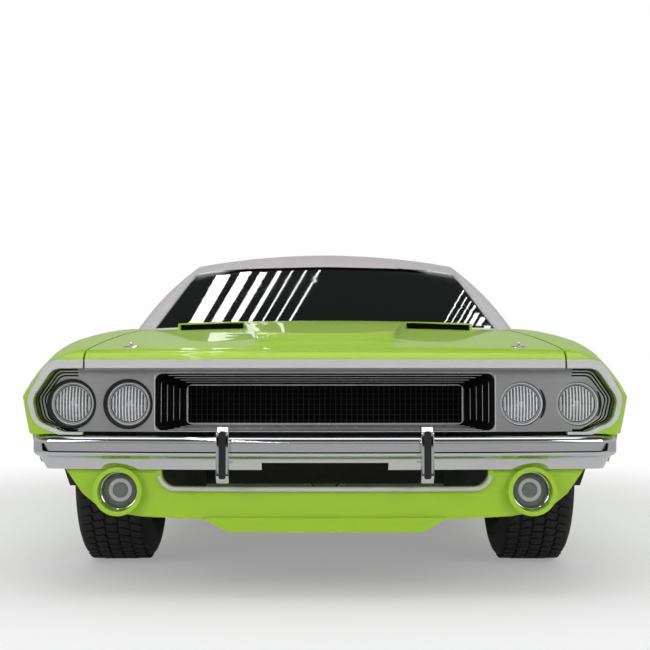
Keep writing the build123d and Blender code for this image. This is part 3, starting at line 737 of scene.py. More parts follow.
def lamp_shield(bm, x, z):
    """Small bulb cap in the middle of a lamp."""
    place = lamp_spot(x, z)
    turned(bm, [(0.0, 0.001), (0.009, -0.001), (0.013, -0.008), (0.011, -0.040), (0.0, -0.041)], place, 24)


def lamp_flutes(x, z):
    """Upright flutes across a lens, as short paths over its dome."""
    paths = []
    for k in range(-5, 6):
        across = k * 0.0096
        half = sqrt(0.0525 ** 2 - across ** 2)
        line = []
        for step in range(9):
            up = half * (step / 4 - 1)
            out = 0.0118 - (across ** 2 + up ** 2) * 3.55
            line.append((x + across, nose_y(x, LAMP_FACE_Y) - out, z + up))
        paths.append(line)
    return paths


SPOTS = [(side * x, LAMP_Z) for x in LAMP_XS for side in (1, -1)]


def build_lamps():
    """Four headlamps and two park lamps."""
    def each(build):
        return lambda bm: [build(bm, x, z) for x, z in SPOTS]
    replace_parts(made("headlamp_lenses", "car", "lamp_glass", each(lamp_lens)), "headlamps")
    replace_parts(made("headlamp_rings", "car", "chrome", each(lamp_rim), material="bright"), "headlamp_rims")
    made("headlamp_bowls", "car", "chrome", each(headlamp), material="bowl")
    made("headlamp_shields", "car", "silver", each(lamp_shield), material="bowl")
    # The flutes take the pale glowing finish: painted highlights on the lens ridges.
    rod("headlamp_flutes", [path for x, z in SPOTS for path in lamp_flutes(x, z)], 0.0020, "car",
        "lamp_glass", 6,
        material="frosted_glow")

    # Painted shade: a near-black half-disc behind the upper half of each lens.
    def shade(bm):
        for x, z in SPOTS:
            place = lamp_spot(x, z)
            rows = []
            for radius, along in ((0.016, -0.012), (0.034, -0.009), (0.0535, -0.004)):
                rows.append([bm.verts.new(place @ Vector((radius * cos(a), radius * sin(a), along)))
                             for a in [radians(-8 + 196 * k / 28) for k in range(29)]])
            for near, far in zip(rows, rows[1:]):
                for i in range(28):
                    bm.faces.new((near[i], near[i + 1], far[i + 1], far[i]))
    made("headlamp_shades", "car", "black_metal", shade, material="black_and_painted_shade")

    panel = Surface("lamp_panel")

    # Painted shade: satin black rings round each lamp and lens edge stand for the shade in the gaps.
    def gap_shade(bm):
        for x, z in SPOTS:
            place = facing(panel.hit((x + 0.0745, -3, z), (0, 1, 0))[0] + Vector((-0.0745, 0.003, 0)),
                           (0, -1, 0))
            turned(bm, [(0.0672, -0.012), (0.0672, 0.004), (0.0700, 0.0052), (0.0748, 0.0044),
                        (0.0768, -0.006)],
                   place, 56, closed=True)
            place = lamp_spot(x, z)
            turned(bm, [(0.0538, -0.003), (0.0545, 0.0012), (0.0598, 0.0012), (0.0600, -0.003)], place, 56,
                   closed=True)
    made("headlamp_gaskets", "car", "black_metal", gap_shade)

    def park_spot(side, y):
        return facing((side * PARK_X, nose_y(PARK_X, FACE_Y) + y, PARK_Z), (0, -1, 0))

    def park_lens(bm):
        for side in (1, -1):
            dome = [(0.0, 0.012), (0.018, 0.0112), (0.034, 0.0082), (0.046, 0.0036), (0.0525, -0.002)]
            turned(bm, dome + [(r, a - 0.003) for r, a in reversed(dome)], park_spot(side, 0.010))
    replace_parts(made("park_lamp_lenses", "car", "lamp_glass", park_lens), "park_lamps")

    def park_ring(bm):
        for side in (1, -1):
            section = [(0.0560 + 0.0038 * cos(a), 0.001 + 0.006 * sin(a)) for a in full_turn(12)]
            turned(bm, section, park_spot(side, 0.010), 56, closed=True)
            turned(bm, [(0.0, -0.016), (0.045, -0.016), (0.054, -0.004)], park_spot(side, 0.010))
    made("park_lamp_rings", "car", "chrome", park_ring)

    # Painted shade: a black centre and ring over each reflector darken it.
    def park_heart(bm):
        for side in (1, -1):
            turned(bm, [(0.0, -0.006), (0.010, -0.007), (0.021, -0.010), (0.024, -0.0155)],
                   park_spot(side, 0.010), 32)
            turned(bm, [(0.035, -0.0155), (0.036, -0.0130), (0.0475, -0.0100), (0.0480, -0.0125)],
                   park_spot(side, 0.010), 48)
    made("park_lamp_hearts", "car", "black_metal", park_heart)
    # Painted highlights: thin pale glowing rings at the rim of each lens.
    lines = []
    for x, z in SPOTS:
        place = lamp_spot(x, z)
        for radius, along in ((0.0578, 0.0016), (0.0530, 0.0006)):
            lines.append([place @ Vector((radius * cos(a), radius * sin(a), along))
                          for a in full_turn(48)])
            lines[-1].append(lines[-1][0])
    rod("headlamp_lines", lines, 0.0008, "car", "chrome", 5, material="frosted_glow")
    # Painted shade: thin black rings in the grooves of each park lamp.
    rings = []
    for side in (1, -1):
        for radius, out in ((0.036, -0.0135), (0.045, -0.0125)):
            rings.append([park_spot(side, 0.010) @ Vector((radius * cos(a), radius * sin(a), out))
                          for a in full_turn(40)])
            rings[-1].append(rings[-1][0])
    rod("park_lamp_grooves", rings, 0.0009, "car", "black_metal", 5)


def build_grille():
    """Bright edges of the dished surround, the fine mesh and its frame."""
    edges, darks = [], []
    for step in range(GRILLE_STEPS + 1):
        half, low, high = 0.515 - 0.016 * step, 0.500 + 0.003 * step, 0.676 - 0.007 * step
        loop = divided(rounded([(-half, low), (half, low), (half, high), (-half, high)], 0.012), 0.05)
        paths = edges if step < GRILLE_STEPS else darks
        paths.append(on_nose(loop, FACE_Y + GRILLE_STEP_Y * step + 0.0006))
    rod("grille_edges", edges, 0.0017, "car", "silver", 8, material="bright")
    half, low, high = 0.430, 0.517, 0.640
    frame_loop = divided(rounded([(-half, low), (half, low), (half, high), (-half, high)], 0.010), 0.05)
    rod("grille_mesh_frame", [on_nose(frame_loop, -2.2215)], 0.0038, "car", "silver", 8, material="bright")
    pitch, cells = 0.0165, []
    left, right, bottom, top = -MESH_HALF, MESH_HALF, 0.5125, 0.6445
    columns = int((right - left) / pitch)
    rows = int((top - bottom) / pitch)
    x_step, z_step = (right - left) / columns, (top - bottom) / rows
    for k in range(columns + 1):
        x = left + k * x_step
        cells.append([(x, nose_y(x, -2.2165), bottom), (x, nose_y(x, -2.2165), top)])
    for k in range(rows + 1):
        z = bottom + k * z_step
        cells.append([(x, nose_y(x, -2.2130),
                       z) for x in [left + (right - left) * i / 30 for i in range(31)]])
    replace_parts(rod("grille_wires", cells, 0.0016, "car", "black_metal", 6), "grille_mesh")

    # Painted shade: a near-black sheet behind the mesh.
    def back(bm):
        rows_at = [[bm.verts.new((x, nose_y(x, -2.2045),
                                  z)) for x in [-MESH_HALF + 2 * MESH_HALF * i / 24 for i in range(25)]]
                   for z in (0.510, 0.647)]
        for i in range(24):
            bm.faces.new((rows_at[0][i], rows_at[0][i + 1], rows_at[1][i + 1], rows_at[1][i]))
    made("grille_dark", "car", "black_metal", back, material="black_and_painted_shade")


def rib_path(inset, lift, drop, side):
    """A line round the end of a lamp opening, drawn in by inset, lift at the top and drop at the foot."""
    low, high = OPENING_BOTTOM + drop, OPENING_TOP - lift
    shape = [(0.700, low), (0.780, low), (0.866 - inset, 0.533 + drop), (0.882 - inset, 0.599),
             (0.820 - inset * 0.6, high), (0.700, high)]
    loop = [p for p in divided(rounded(shape, 0.030), 0.02) if p.x > 0.735]
    loop.sort(key=lambda p: atan2(p.y - 0.59, p.x - 0.735))
    return on_nose([(side * p.x, p.y) for p in loop], FACE_Y + 0.002)


def build_ribs():
    """Bright ribs round the end of each lamp opening, with near-black rods between them as painted shade in
    the grooves.
    """
    bright = [rib_path(inset, lift, drop, side) for side in (1, -1)
              for inset, lift, drop in ((0.010, 0.009, 0.002), (0.020, 0.018, 0.004),
                                        (0.030, 0.027, 0.006))]
    # Painted shade: near-black rods in the grooves between the ribs.
    dark = [rib_path(inset, lift, drop, side) for side in (1, -1)
            for inset, lift, drop in ((0.005, 0.0045, 0.001), (0.015, 0.0135, 0.003),
                                      (0.025, 0.0225, 0.005))]
    rod("lamp_ribs", bright, 0.0024, "car", "silver", 8, material="bright")
    rod("lamp_grooves", dark, 0.0030, "car", "silver", 8, material="black_and_painted_shade")


def through(start, middle, end, count=5):
    """Points on the arc through three flat points."""
    (ax, ay), (bx, by), (cx, cy) = start, middle, end
    area = 2 * (ax * (by - cy) + bx * (cy - ay) + cx * (ay - by))
    sa, sb, sc = ax * ax + ay * ay, bx * bx + by * by, cx * cx + cy * cy
    heart = Vector(((sa * (by - cy) + sb * (cy - ay) + sc * (ay - by)) / area,
                    (sa * (cx - bx) + sb * (ax - cx) + sc * (bx - ax)) / area))
    first = Vector(start) - heart
    turn = (Vector(end) - heart).angle_signed(first)
    return [heart + Vector((first.x * cos(turn * k / count) - first.y * sin(turn * k / count),
                            first.x * sin(turn * k / count) + first.y * cos(turn * k / count)))
            for k in range(count + 1)]


def bumper_bar(bm, half_width, face_y, end_y, sign, top, low, notch=0.0):
    """A rolled section carried along its plan line. notch is the half width of a cut-back foot."""
    corner = 0.090
    centre_y = face_y - sign * NOSE_RADIUS
    corner_x = half_width - corner
    corner_y = centre_y + sign * sqrt((NOSE_RADIUS - corner) ** 2 - corner_x ** 2)
    last = atan2(corner_x, abs(corner_y - centre_y))
    stations = []
    for k in range(13):
        angle = last * k / 12
        stations.append((NOSE_RADIUS * sin(angle), centre_y + sign * NOSE_RADIUS * cos(angle), angle))
    for k in range(1, 11):
        angle = last + (pi / 2 - last) * k / 10
        stations.append((corner_x + corner * sin(angle), corner_y + sign * corner * cos(angle), angle))
    stations.append((half_width, end_y, pi / 2))
    if notch:
        angle = atan2(notch, NOSE_RADIUS)
        spot = (notch, centre_y + sign * sqrt(NOSE_RADIUS ** 2 - notch ** 2), angle)
        stations = sorted(stations + [spot, spot], key=lambda s: (s[2], s[0]))
    roll = [(0.038, top)] + through((0.012, top), (0.003, top - 0.008), (0.0, top - 0.022), 7)
    roll += through((0.0, top - 0.044), (0.004, top - 0.056), (0.016, top - 0.062), 5)
    roll += [(0.024, top - 0.070), (0.0265, top - 0.075), (0.0283, top - 0.078), (0.040, low), (0.052, low),
             (0.052, top - 0.020)]
    rings = []
    both = [(-x, y, -a) for x, y, a in reversed(stations)] + stations[1:]
    for index, (x, y, angle) in enumerate(both):
        inner = both[index - 1] if x > 0 else both[index + 1]
        at_edge = abs(abs(x) - notch) < 0.001 and inner[0] != x
        cut = notch and (abs(x) < notch - 0.001 or at_edge)
        ring = []
        for inset, z in roll:
            ring.append(bm.verts.new((x - sin(angle) * inset, y - sign * cos(angle) * inset,
                                      max(z, top - 0.078) if cut else z)))
        rings.append(ring)
    for near, far in zip(rings, rings[1:]):
        for i in range(len(roll)):
            j = (i + 1) % len(roll)
            bm.faces.new((near[i], near[j], far[j], far[i]))
    bm.faces.new(rings[0])
    bm.faces.new(rings[-1])


def build_bumpers():
    """The two rolled bumper bars and the front guards."""
    front = made("front_bumper_bar", "car", "chrome",
                 lambda bm: bumper_bar(bm, 0.893, -2.402, -2.120, -1, 0.486, 0.386, 0.190), 40)
    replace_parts(front, "front_bumper")
    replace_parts(made("rear_bumper_bar", "car", "chrome",
                     lambda bm: bumper_bar(bm, 0.905, 2.430, 2.120, 1, 0.560, 0.450), 40), "rear_bumper")

    def guards(bm):
        outline = [(-2.395, 0.350), (-2.395, 0.518), (-2.412, 0.518), (GUARD_FACE_Y, 0.500),
                   (GUARD_FACE_Y, 0.372), (-2.415, 0.350)]
        for side in (1, -1):
            ends = [[bm.verts.new((side * GUARD_X + x, y, z)) for y, z in outline] for x in (-0.019, 0.019)]
            faces = [bm.faces.new(ends[0]), bm.faces.new(ends[1])]
            for i in range(6):
                faces.append(bm.faces.new((ends[0][i], ends[0][(i + 1) % 6], ends[1][(i + 1) % 6],
                                           ends[1][i])))
            edges = list({edge for face in faces for edge in face.edges})
            bmesh.ops.bevel(bm, geom=edges, offset=0.0035, segments=3, affect="EDGES", profile=0.5)
    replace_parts(made("front_bumper_guards", "car", "chrome", guards, 40), "front_bumper")


def build_hood_details():
    """Near-black sheets across the hood scoops' throats, painted shade in the openings, and the hood pins."""
    hood = Surface("hood")

    # Painted shade: a near-black sheet fills each scoop's mouth.
    def throats(bm):
        for side in (1, -1):
            rows = []
            for k in range(13):
                x = side * (0.319 + 0.239 * k / 12)
                foot = hood.hit((x, -1.36, 1.2), (0, 0, -1))[0].z + 0.0045
                rows.append([bm.verts.new((x, -1.302, foot - 0.001)), bm.verts.new((x, -1.302, 0.8690))])
            for near, far in zip(rows, rows[1:]):
                bm.faces.new((near[0], far[0], far[1], near[1]))
    made("scoop_throats", "hood", "green_paint", throats, material="black_and_painted_shade")

    def pins(bm):
        for side in (1, -1):
            spot, look = hood.hit((side * 0.600, -2.240, 1.2), (0, 0, -1))
            turned(bm, [(0.0, 0.0030), (0.021, 0.0028), (0.0235, 0.0018), (0.024, -0.001)],
                   facing(spot, look), 40)
            turned(bm, [(0.0, 0.0150), (0.0035, 0.0145), (0.0045, 0.012), (0.0045, 0.002)],
                   facing(spot, look), 20)
    made("hood_pins", "hood", "chrome", pins)


def build_bumper_trim():
    """Rubber strips on the guards, and the mouth's rolled edge."""
    def strips(bm):
        for side in (1, -1):
            profile = [(-0.011, 0.003), (-0.0105, -0.0004), (-0.007, -0.0014), (0.007, -0.0014),
                       (0.0105, -0.0004),
                       (0.011, 0.003)]
            rings = []
            for z, share in ((0.364, 0.0), (0.368, 0.9), (0.373, 1.0), (0.495, 1.0), (0.500, 0.9),
                             (0.504, 0.0)):
                rings.append([bm.verts.new((side * GUARD_X + x * (0.6 + 0.4 * share),
                                            GUARD_FACE_Y + y * (share if y < 0 else 1), z))
                              for x, y in profile])
            for near, far in zip(rings, rings[1:]):
                for i in range(len(profile) - 1):
                    bm.faces.new((near[i], near[i + 1], far[i + 1], far[i]))
                bm.faces.new((near[-1], near[0], far[0], far[-1]))
            bm.faces.new(rings[0])
            bm.faces.new(rings[-1])
    made("guard_strips", "car", "black_metal", strips, material="rubber")

    loop = divided(rounded([(-0.500, 0.327), (0.500, 0.327), (0.500, 0.456), (-0.500, 0.456)], 0.050), 0.04)
    loop = [p for p in loop if p.y < 0.372]
    loop.sort(key=lambda p: p.x)
    front = [Vector((p.x, nose_y(p.x, -2.3535), p.y)) for p in loop]
    rod("mouth_roll", [front], 0.0065, "car", "silver", 10, material="pale")


build_bumpers()
build_lamps()
build_hood_details()
build_grille()
build_ribs()
build_bumper_trim()


def rim(name, node, outward, radius, body, slot, material=None, lift=0.0, sides=8, keep=None):
    """A bar along the edge of a node's outer face."""
    data, out = SKINS[node].data, Vector(outward).normalized()
    bm = bmesh.new()
    bm.from_mesh(data)
    edges = []
    for edge in bm.edges:
        if len(edge.link_faces) == 2:
            near, far = sorted(edge.link_faces, key=lambda face: -face.normal.dot(out))
            if near.normal.dot(out) > 0.5 and near.normal.angle(far.normal) > 0.7:
                middle = (edge.verts[0].co + edge.verts[1].co) / 2
                if keep is None or keep(middle):
                    edges.append(edge)
    verts = sorted({vert for edge in edges for vert in edge.verts}, key=lambda vert: vert.index)
    number = {vert: index for index, vert in enumerate(verts)}
    source = bpy.data.meshes.new(name)
    source.from_pydata([tuple(v.co + out * lift) for v in verts],
                       [[number[v] for v in e.verts] for e in edges], [])
    bm.free()
    return grow(name, ROD, source, body, slot, material, Radius=radius, Sides=sides)


def build_glass_trim():
    """Reveal mouldings of the fixed glass, and belt strips on the doors."""
    rim("screen_moulding", "windscreen", (0, -0.45, 0.89), 0.0070, "car", "chrome", "bright", 0.002)
    rim("rear_moulding", "rear_window", (0, 0.55, 0.83), 0.0070, "car", "chrome", "bright", 0.002)
    rim("quarter_moulding_left", "quarter_glass", (1, 0, 0.3), 0.0042, "car", "chrome", "bright",
        0.001, keep=lambda p: p.x > 0)
    rim("quarter_moulding_right", "quarter_glass", (-1, 0, 0.3), 0.0042, "car", "chrome", "bright",
        0.001, keep=lambda p: p.x < 0)
    for hand, side in HANDS.items():
        body = f"door_{hand}"
        door = Surface(f"door_{hand}")
        path = []
        for k in range(25):
            y = -0.685 + 1.24 * k / 24
            point = door.hit((side * 0.842, y, 1.5), (0, 0, -1))[0]
            if point:
                path.append(point + Vector((0, 0, 0.0015)))
        rod(f"belt_strip_{hand}", [path], 0.0045, body, "chrome", 8)


def plate_on(bm, surface, y, z, side, length, height, thick, bevel, sink=0.001):
    """A bevelled plate on a side panel."""
    point, normal = surface.hit((side * 1.4, y, z), (-side, 0, 0))
    block(bm, facing(point + normal * (thick / 2 - sink), normal), (length, height, thick), bevel)
    return point, normal


def build_sides():
    """Door handles, locks, side markers and the filler cap."""
    for hand, side in HANDS.items():
        door = Surface(f"door_{hand}")
        fender = Surface(f"fender_{hand}")
        quarter = Surface(f"quarter_{hand}")

        def handle(bm):
            point, normal = plate_on(bm, door, 0.43, 0.735, side, 0.150, 0.034, 0.005, 0.0022)
            block(bm, facing(point + normal * 0.0150 + Vector((0, 0, 0.004)), normal),
                  (0.118, 0.015, 0.007), 0.003)
            for shift in (-0.050, 0.050):
                block(bm, facing(point + normal * 0.009 + Vector((0, shift, 0.004)), normal),
                      (0.014, 0.014, 0.010), 0.003)
            turned(bm, [(0.0, 0.020), (0.0055, 0.0195), (0.0075, 0.0175), (0.0075, 0.001)],
                   facing(point + Vector((0, 0.030, -0.003)), normal), 24)
            spot, look = door.hit((side * 1.4, 0.50, 0.700), (-side, 0, 0))
            turned(bm, [(0.0, 0.004), (0.006, 0.0038), (0.010, 0.0024), (0.0105, -0.001)],
                   facing(spot, look), 28)
        made(f"door_handle_{hand}", f"door_{hand}", "chrome", handle)

        # Painted shade: a near-black sliver for the key slot.
        def slit(bm):
            spot, look = door.hit((side * 1.4, 0.50, 0.700), (-side, 0, 0))
            block(bm, facing(spot + look * 0.0038, look), (0.0016, 0.008, 0.001))
        made(f"door_key_{hand}", f"door_{hand}", "black_metal", slit, material="black_and_painted_shade")

        made(f"front_marker_frame_{hand}", "car", "chrome",
             lambda bm: plate_on(bm, fender, -2.04, 0.470, side, 0.132, 0.040, 0.006, 0.0025))
        made(f"front_marker_{hand}", "car", "lamp_glass",
             lambda bm: plate_on(bm, fender, -2.04, 0.470, side, 0.116, 0.026, 0.010, 0.004),
             material="amber")
        made(f"rear_marker_frame_{hand}", "car", "chrome",
             lambda bm: plate_on(bm, quarter, 2.05, 0.600, side, 0.132, 0.040, 0.006, 0.0025))
        made(f"rear_marker_{hand}", "car", "red",
             lambda bm: plate_on(bm, quarter, 2.05, 0.600, side, 0.116, 0.026, 0.010, 0.004))
    quarter = Surface("quarter_right")
    spot, look = quarter.hit((-1.4, 1.78, 0.800), (1, 0, 0))

    def filler(bm):
        place = facing(spot, look)
        turned(bm, [(0.0, 0.010), (0.020, 0.0098), (0.036, 0.0085), (0.044, 0.006), (0.046, -0.002)], place,
               48)
        turned(bm, [(0.049, -0.002), (0.050, 0.004), (0.056, 0.0045), (0.060, -0.002)], place, 48,
               closed=True)
        block(bm, facing(spot + look * 0.012 + Vector((0, -0.030, 0)), look), (0.020, 0.030, 0.007), 0.0025)
    made("filler_cap", "car", "chrome", filler)


def tyre_mesh(bm, centre):
    """Carcass, shoulders and ribbed sidewalls of one tyre."""
    half = [(0.1938, 0.090), (0.203, 0.106), (0.214, 0.1125), (0.222, 0.1165), (0.225, 0.1165),
            (0.228, 0.1185),
            (0.262, 0.1262), (0.265, 0.1272), (0.272, 0.1274), (0.275, 0.1264), (0.298, 0.1235),
            (0.314, 0.117),
            (0.325, 0.107), (0.3305, 0.095), (0.3320, 0.070)]
    profile = half + [(r, -a) for r, a in reversed(half)]
    turned(bm, profile, facing(centre, (1, 0, 0)), 72, closed=True)


def tread_spots(centre):
    """Five rows of tread blocks."""
    spots = []
    for row in range(-2, 3):
        for k in range(60):
            angle = 2 * pi * (k + 0.5 * (row % 2)) / 60
            out = Vector((0, cos(angle), sin(angle)))
            lean = 0.30 if row > 0 else -0.30 if row < 0 else 0.0
            across = Vector((1, 0, 0)) + Vector((0, -sin(angle), cos(angle))) * lean
            reach = 0.3352 if abs(row) < 2 else 0.3335
            spots.append((Vector(centre) + out * reach + Vector((row * 0.0415, 0, 0)), out, across))
    return spots


def build_wheels():
    """Tyres with block treads, trim rings, wheel nuts and centre caps."""
    for axle, axle_y in AXLES.items():
        for hand, side in HANDS.items():
            node = f"{axle}_{hand}"
            body = f"wheel_{node}"
            centre = Vector((side * WHEEL_X, axle_y, TYRE_RADIUS))
            tyre = made(f"tyre_{node}_carcass", body, "tyre", lambda bm: tyre_mesh(bm, centre), 30)
            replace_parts(tyre, f"tyre_{node}")
            scatter(f"tyre_{node}_tread", lambda bm: block(bm, Matrix(), (0.0360, 0.0265, 0.0085), 0.0012),
                    tread_spots(centre), body, "tyre")
            hub = Surface(f"rim_{node}")
            outwards = Vector((side, 0, 0))

            def ring(bm):
                place = facing(centre + outwards * 0.100, outwards)
                turned(bm, [(0.176, -0.004), (0.181, 0.004), (0.188, 0.0082), (0.1925, 0.0078),
                            (0.1932, 0.003),
                            (0.188, 0.0045), (0.182, 0.000), (0.178, -0.008)], place, 72, closed=True)
            made(f"trim_ring_{node}", body, "chrome", ring)
            nut_spots = []
            for k in range(5):
                angle = 2 * pi * k / 5 + 0.3
                offset = Vector((0, 0.057 * cos(angle), 0.057 * sin(angle)))
                spot = hub.hit(centre + outwards * 0.4 + offset, -outwards)[0]
                if spot:
                    nut_spots.append((spot, outwards, Vector((0, cos(angle), sin(angle)))))

            def nut(bm):
                turned(bm, [(0.0, 0.024), (0.007, 0.0235), (0.0095, 0.020), (0.0105, 0.019),
                            (0.0105, -0.002)], Matrix(), 6)
                turned(bm, [(0.0, 0.003), (0.0135, 0.0028), (0.015, 0.001), (0.015, -0.003)], Matrix(), 24)
            scatter(f"wheel_nuts_{node}", nut, nut_spots, body, "chrome", degrees=25)
            top = hub.hit(centre + outwards * 0.4 + Vector((0, 0.018, 0)), -outwards)[0]

            def cap(bm):
                turned(bm, [(0.0, 0.034), (0.012, 0.0335), (0.022, 0.0305), (0.029, 0.024), (0.032, 0.014),
                            (0.0335, 0.004), (0.036, -0.002)],
                       facing((top.x, axle_y, TYRE_RADIUS), outwards), 40)
            made(f"centre_cap_{node}", body, "chrome", cap)


def build_rear():
    """Tail-lamp frames and ribs, and tailpipe bores."""
    rim("tail_lamp_frames", "tail_lamps", (0, 1, 0), 0.0040, "car", "chrome", None, 0.001)

    # Painted shade: near-black cones inside the pipe ends.
    def bores(bm):
        for side in (1, -1):
            turned(bm, [(0.0, -0.080), (0.0270, -0.080), (0.0295, 0.0)],
                   facing((side * 0.384, 2.3705, 0.190), (0, 1, 0)), 32)
    made("tailpipe_bores", "car", "steel", bores, material="black_and_painted_shade")
    lamps = Surface("tail_lamps")
    ribs = []
    for k in range(-38, 39):
        x = k * 0.016
        low = lamps.hit((x, 3.0, 0.655), (0, -1, 0))[0]
        high = lamps.hit((x, 3.0, 0.727), (0, -1, 0))[0]
        if low and high and abs(low.y - high.y) < 0.03:
            ribs.append([low + Vector((0, 0.0005, 0)), high + Vector((0, 0.0005, 0))])
    rod("tail_lamp_ribs", ribs, 0.0014, "car", "red", 5)


build_glass_trim()
build_sides()
build_wheels()
build_rear()


def slab(bm, outline, half, centre_x, crown=0.030):
    """A seat block: a side outline in y, z carried across, drawn in towards both ends."""
    loop = divided([Vector(p) for p in rounded(outline, 0.030, 4)], 0.03)[:-1]
    heart = sum(loop, Vector((0, 0))) / len(loop)
    rings = []
    for step in range(-10, 11):
        share = step / 10
        inset = crown * abs(share) ** 5
        ring = []
        for p in loop:
            pull = (heart - p).normalized() * inset
            ring.append(bm.verts.new((centre_x + half * share, p.x + pull.x, p.y + pull.y)))
        rings.append(ring)
    for near, far in zip(rings, rings[1:]):
        for i in range(len(loop)):
            j = (i + 1) % len(loop)
            bm.faces.new((near[i], near[j], far[j], far[i]))
    bm.faces.new(rings[0])
    bm.faces.new(rings[-1])


def puff(piece, voxel, limit):
    """Fills the cover by a short cloth simulation under pressure. No point moves further than the limit."""
    remesh = piece.modifiers.new("remesh", "REMESH")
    remesh.mode = "VOXEL"
    remesh.voxel_size = voxel
    settle(piece)
    before = [vert.co.copy() for vert in piece.data.vertices]
    cloth = piece.modifiers.new("cloth", "CLOTH")
    cloth.settings.quality = 4
    cloth.settings.mass = 0.3
    cloth.settings.use_pressure = True
    cloth.settings.uniform_pressure_force = 4.0
    cloth.settings.effector_weights.gravity = 0.0
    cloth.point_cache.frame_start, cloth.point_cache.frame_end = 1, 20
    for step in range(1, 21):
        bpy.context.scene.frame_set(step)
    settle(piece)
    bpy.context.scene.frame_set(1)
    for vert, start in zip(piece.data.vertices, before):
        shift = vert.co - start
        if shift.length > limit:
            vert.co = start + shift.normalized() * limit
    finer = piece.modifiers.new("finer", "SUBSURF")
    finer.levels = finer.render_levels = 1
    return settle(piece)


def pleat(piece, centre_x, half, look, low, high, depth=0.007, pitch=0.070):
    """Sewn grooves in the face that looks along a direction, between two distances up it."""
    up = Vector((0, -look.z, -look.y)) if look.z > 0.7 else Vector((0, look.z, -look.y))
    grooves = [(vert, vert.normal.copy()) for vert in piece.data.vertices if vert.normal.dot(look) > 0.6]
    for vert, normal in grooves:
        across = vert.co.x - centre_x
        reach = abs(vert.co.dot(up))
        if abs(across) < half + 0.004 and low < reach < high:
            near = abs((across / pitch + 0.5) % 1.0 - 0.5) * pitch
            vert.co -= normal * depth * max(0.0, 1 - near / 0.009) ** 1.5
    piece.data.update()


# name, side outline, half width, centre x, the face's direction, pleats from and to along it, CAD node
SEATS = [
    ("front_cushion", [(-0.170, 0.360), (-0.180, 0.456), (0.290, 0.428), (0.318, 0.360)], 0.228, 0.39,
     (0, 0, 1), -9, 9, "front_seats"),
    ("front_back", [(0.284, 0.462), (0.428, 0.986), (0.504, 0.986), (0.408, 0.442)], 0.228, 0.39,
     (0, -0.965, 0.262), 0.56, 0.99, "front_seats"),
    ("rear_cushion", [(0.662, 0.434), (0.655, 0.523), (1.060, 0.503), (1.072, 0.488)], 0.546, 0.0,
     (0, 0, 1), -9, 9, "rear_seat"),
    ("rear_back", [(1.088, 0.532), (1.206, 0.846), (1.276, 0.846), (1.208, 0.514)], 0.546, 0.0,
     (0, -0.937, 0.349), -9, 9, "rear_seat"),
]


def build_seats():
    """Padded bucket seats and rear bench."""
    for name, outline, half, centre_x, look, low, high, node in SEATS:
        piece = puff(mesh_piece(name, lambda bm: slab(bm, outline, half, centre_x)), 0.012, 0.014)
        pleat(piece, centre_x, half - 0.055, Vector(look), low, high)
        twins = [piece]
        if centre_x:
            twins.append(linked(name + "_right", piece.data.copy()))
            twins[1].data.transform(Matrix.Translation((-2 * centre_x, 0, 0)))
        for seat in twins:
            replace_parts(finish_piece(smooth(seat, 60), "car", "seat"), node)


def build_steering():
    """Thin-rimmed wheel with three pierced spokes and a padded boss."""
    place = facing(STEER, STEER_AXIS)

    def wheel(bm):
        section = [(0.180 + 0.0125 * cos(a), 0.0125 * sin(a) + 0.006) for a in full_turn(16)]
        turned(bm, section, place, 72, closed=True)
        turned(bm, [(0.0, 0.000), (0.034, -0.002), (0.046, -0.010), (0.050, -0.024), (0.030, -0.050),
                    (0.024, -0.090)],
               place, 40)
    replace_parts(made("steering_rim", "steering_wheel", "trim", wheel), "steering_wheel")

    def spokes(bm):
        for turn_by in (0.0, 2 * pi / 3, -2 * pi / 3):
            arm = place @ Matrix.Rotation(turn_by - pi / 2, 4, "Z")
            for start in (0.045, 0.092, 0.139):
                for edge in (-0.012, 0.012):
                    block(bm, arm @ Matrix.Translation((start + 0.020, edge, -0.004)),
                          (0.044, 0.009, 0.003), 0.001)
                block(bm, arm @ Matrix.Translation((start + 0.037, 0, -0.004)), (0.012, 0.030, 0.003),
                      0.001)
            block(bm, arm @ Matrix.Translation((0.050, 0, -0.004)), (0.016, 0.036, 0.003), 0.001)
    made("steering_spokes", "steering_wheel", "trim", spokes, material="bright")
    ring = [place @ Vector((0.052 * cos(a), 0.052 * sin(a), -0.001)) for a in full_turn(48)]
    rod("steering_horn_ring", [ring + ring[:1]], 0.0022, "steering_wheel", "trim", 8, material="bright")
    column = [STEER - STEER_AXIS * 0.10, STEER - STEER_AXIS * 0.30]
    rod("steering_column", [column], 0.0210, "car", "trim", 24)
    stalk = STEER - STEER_AXIS * 0.13
    rod("signal_stalk", [[stalk, stalk + Vector((0.060, -0.004, 0.02)),
                          stalk + Vector((0.130, -0.004, 0.05))]], 0.0035,
        "car", "trim", 8, material="bright")


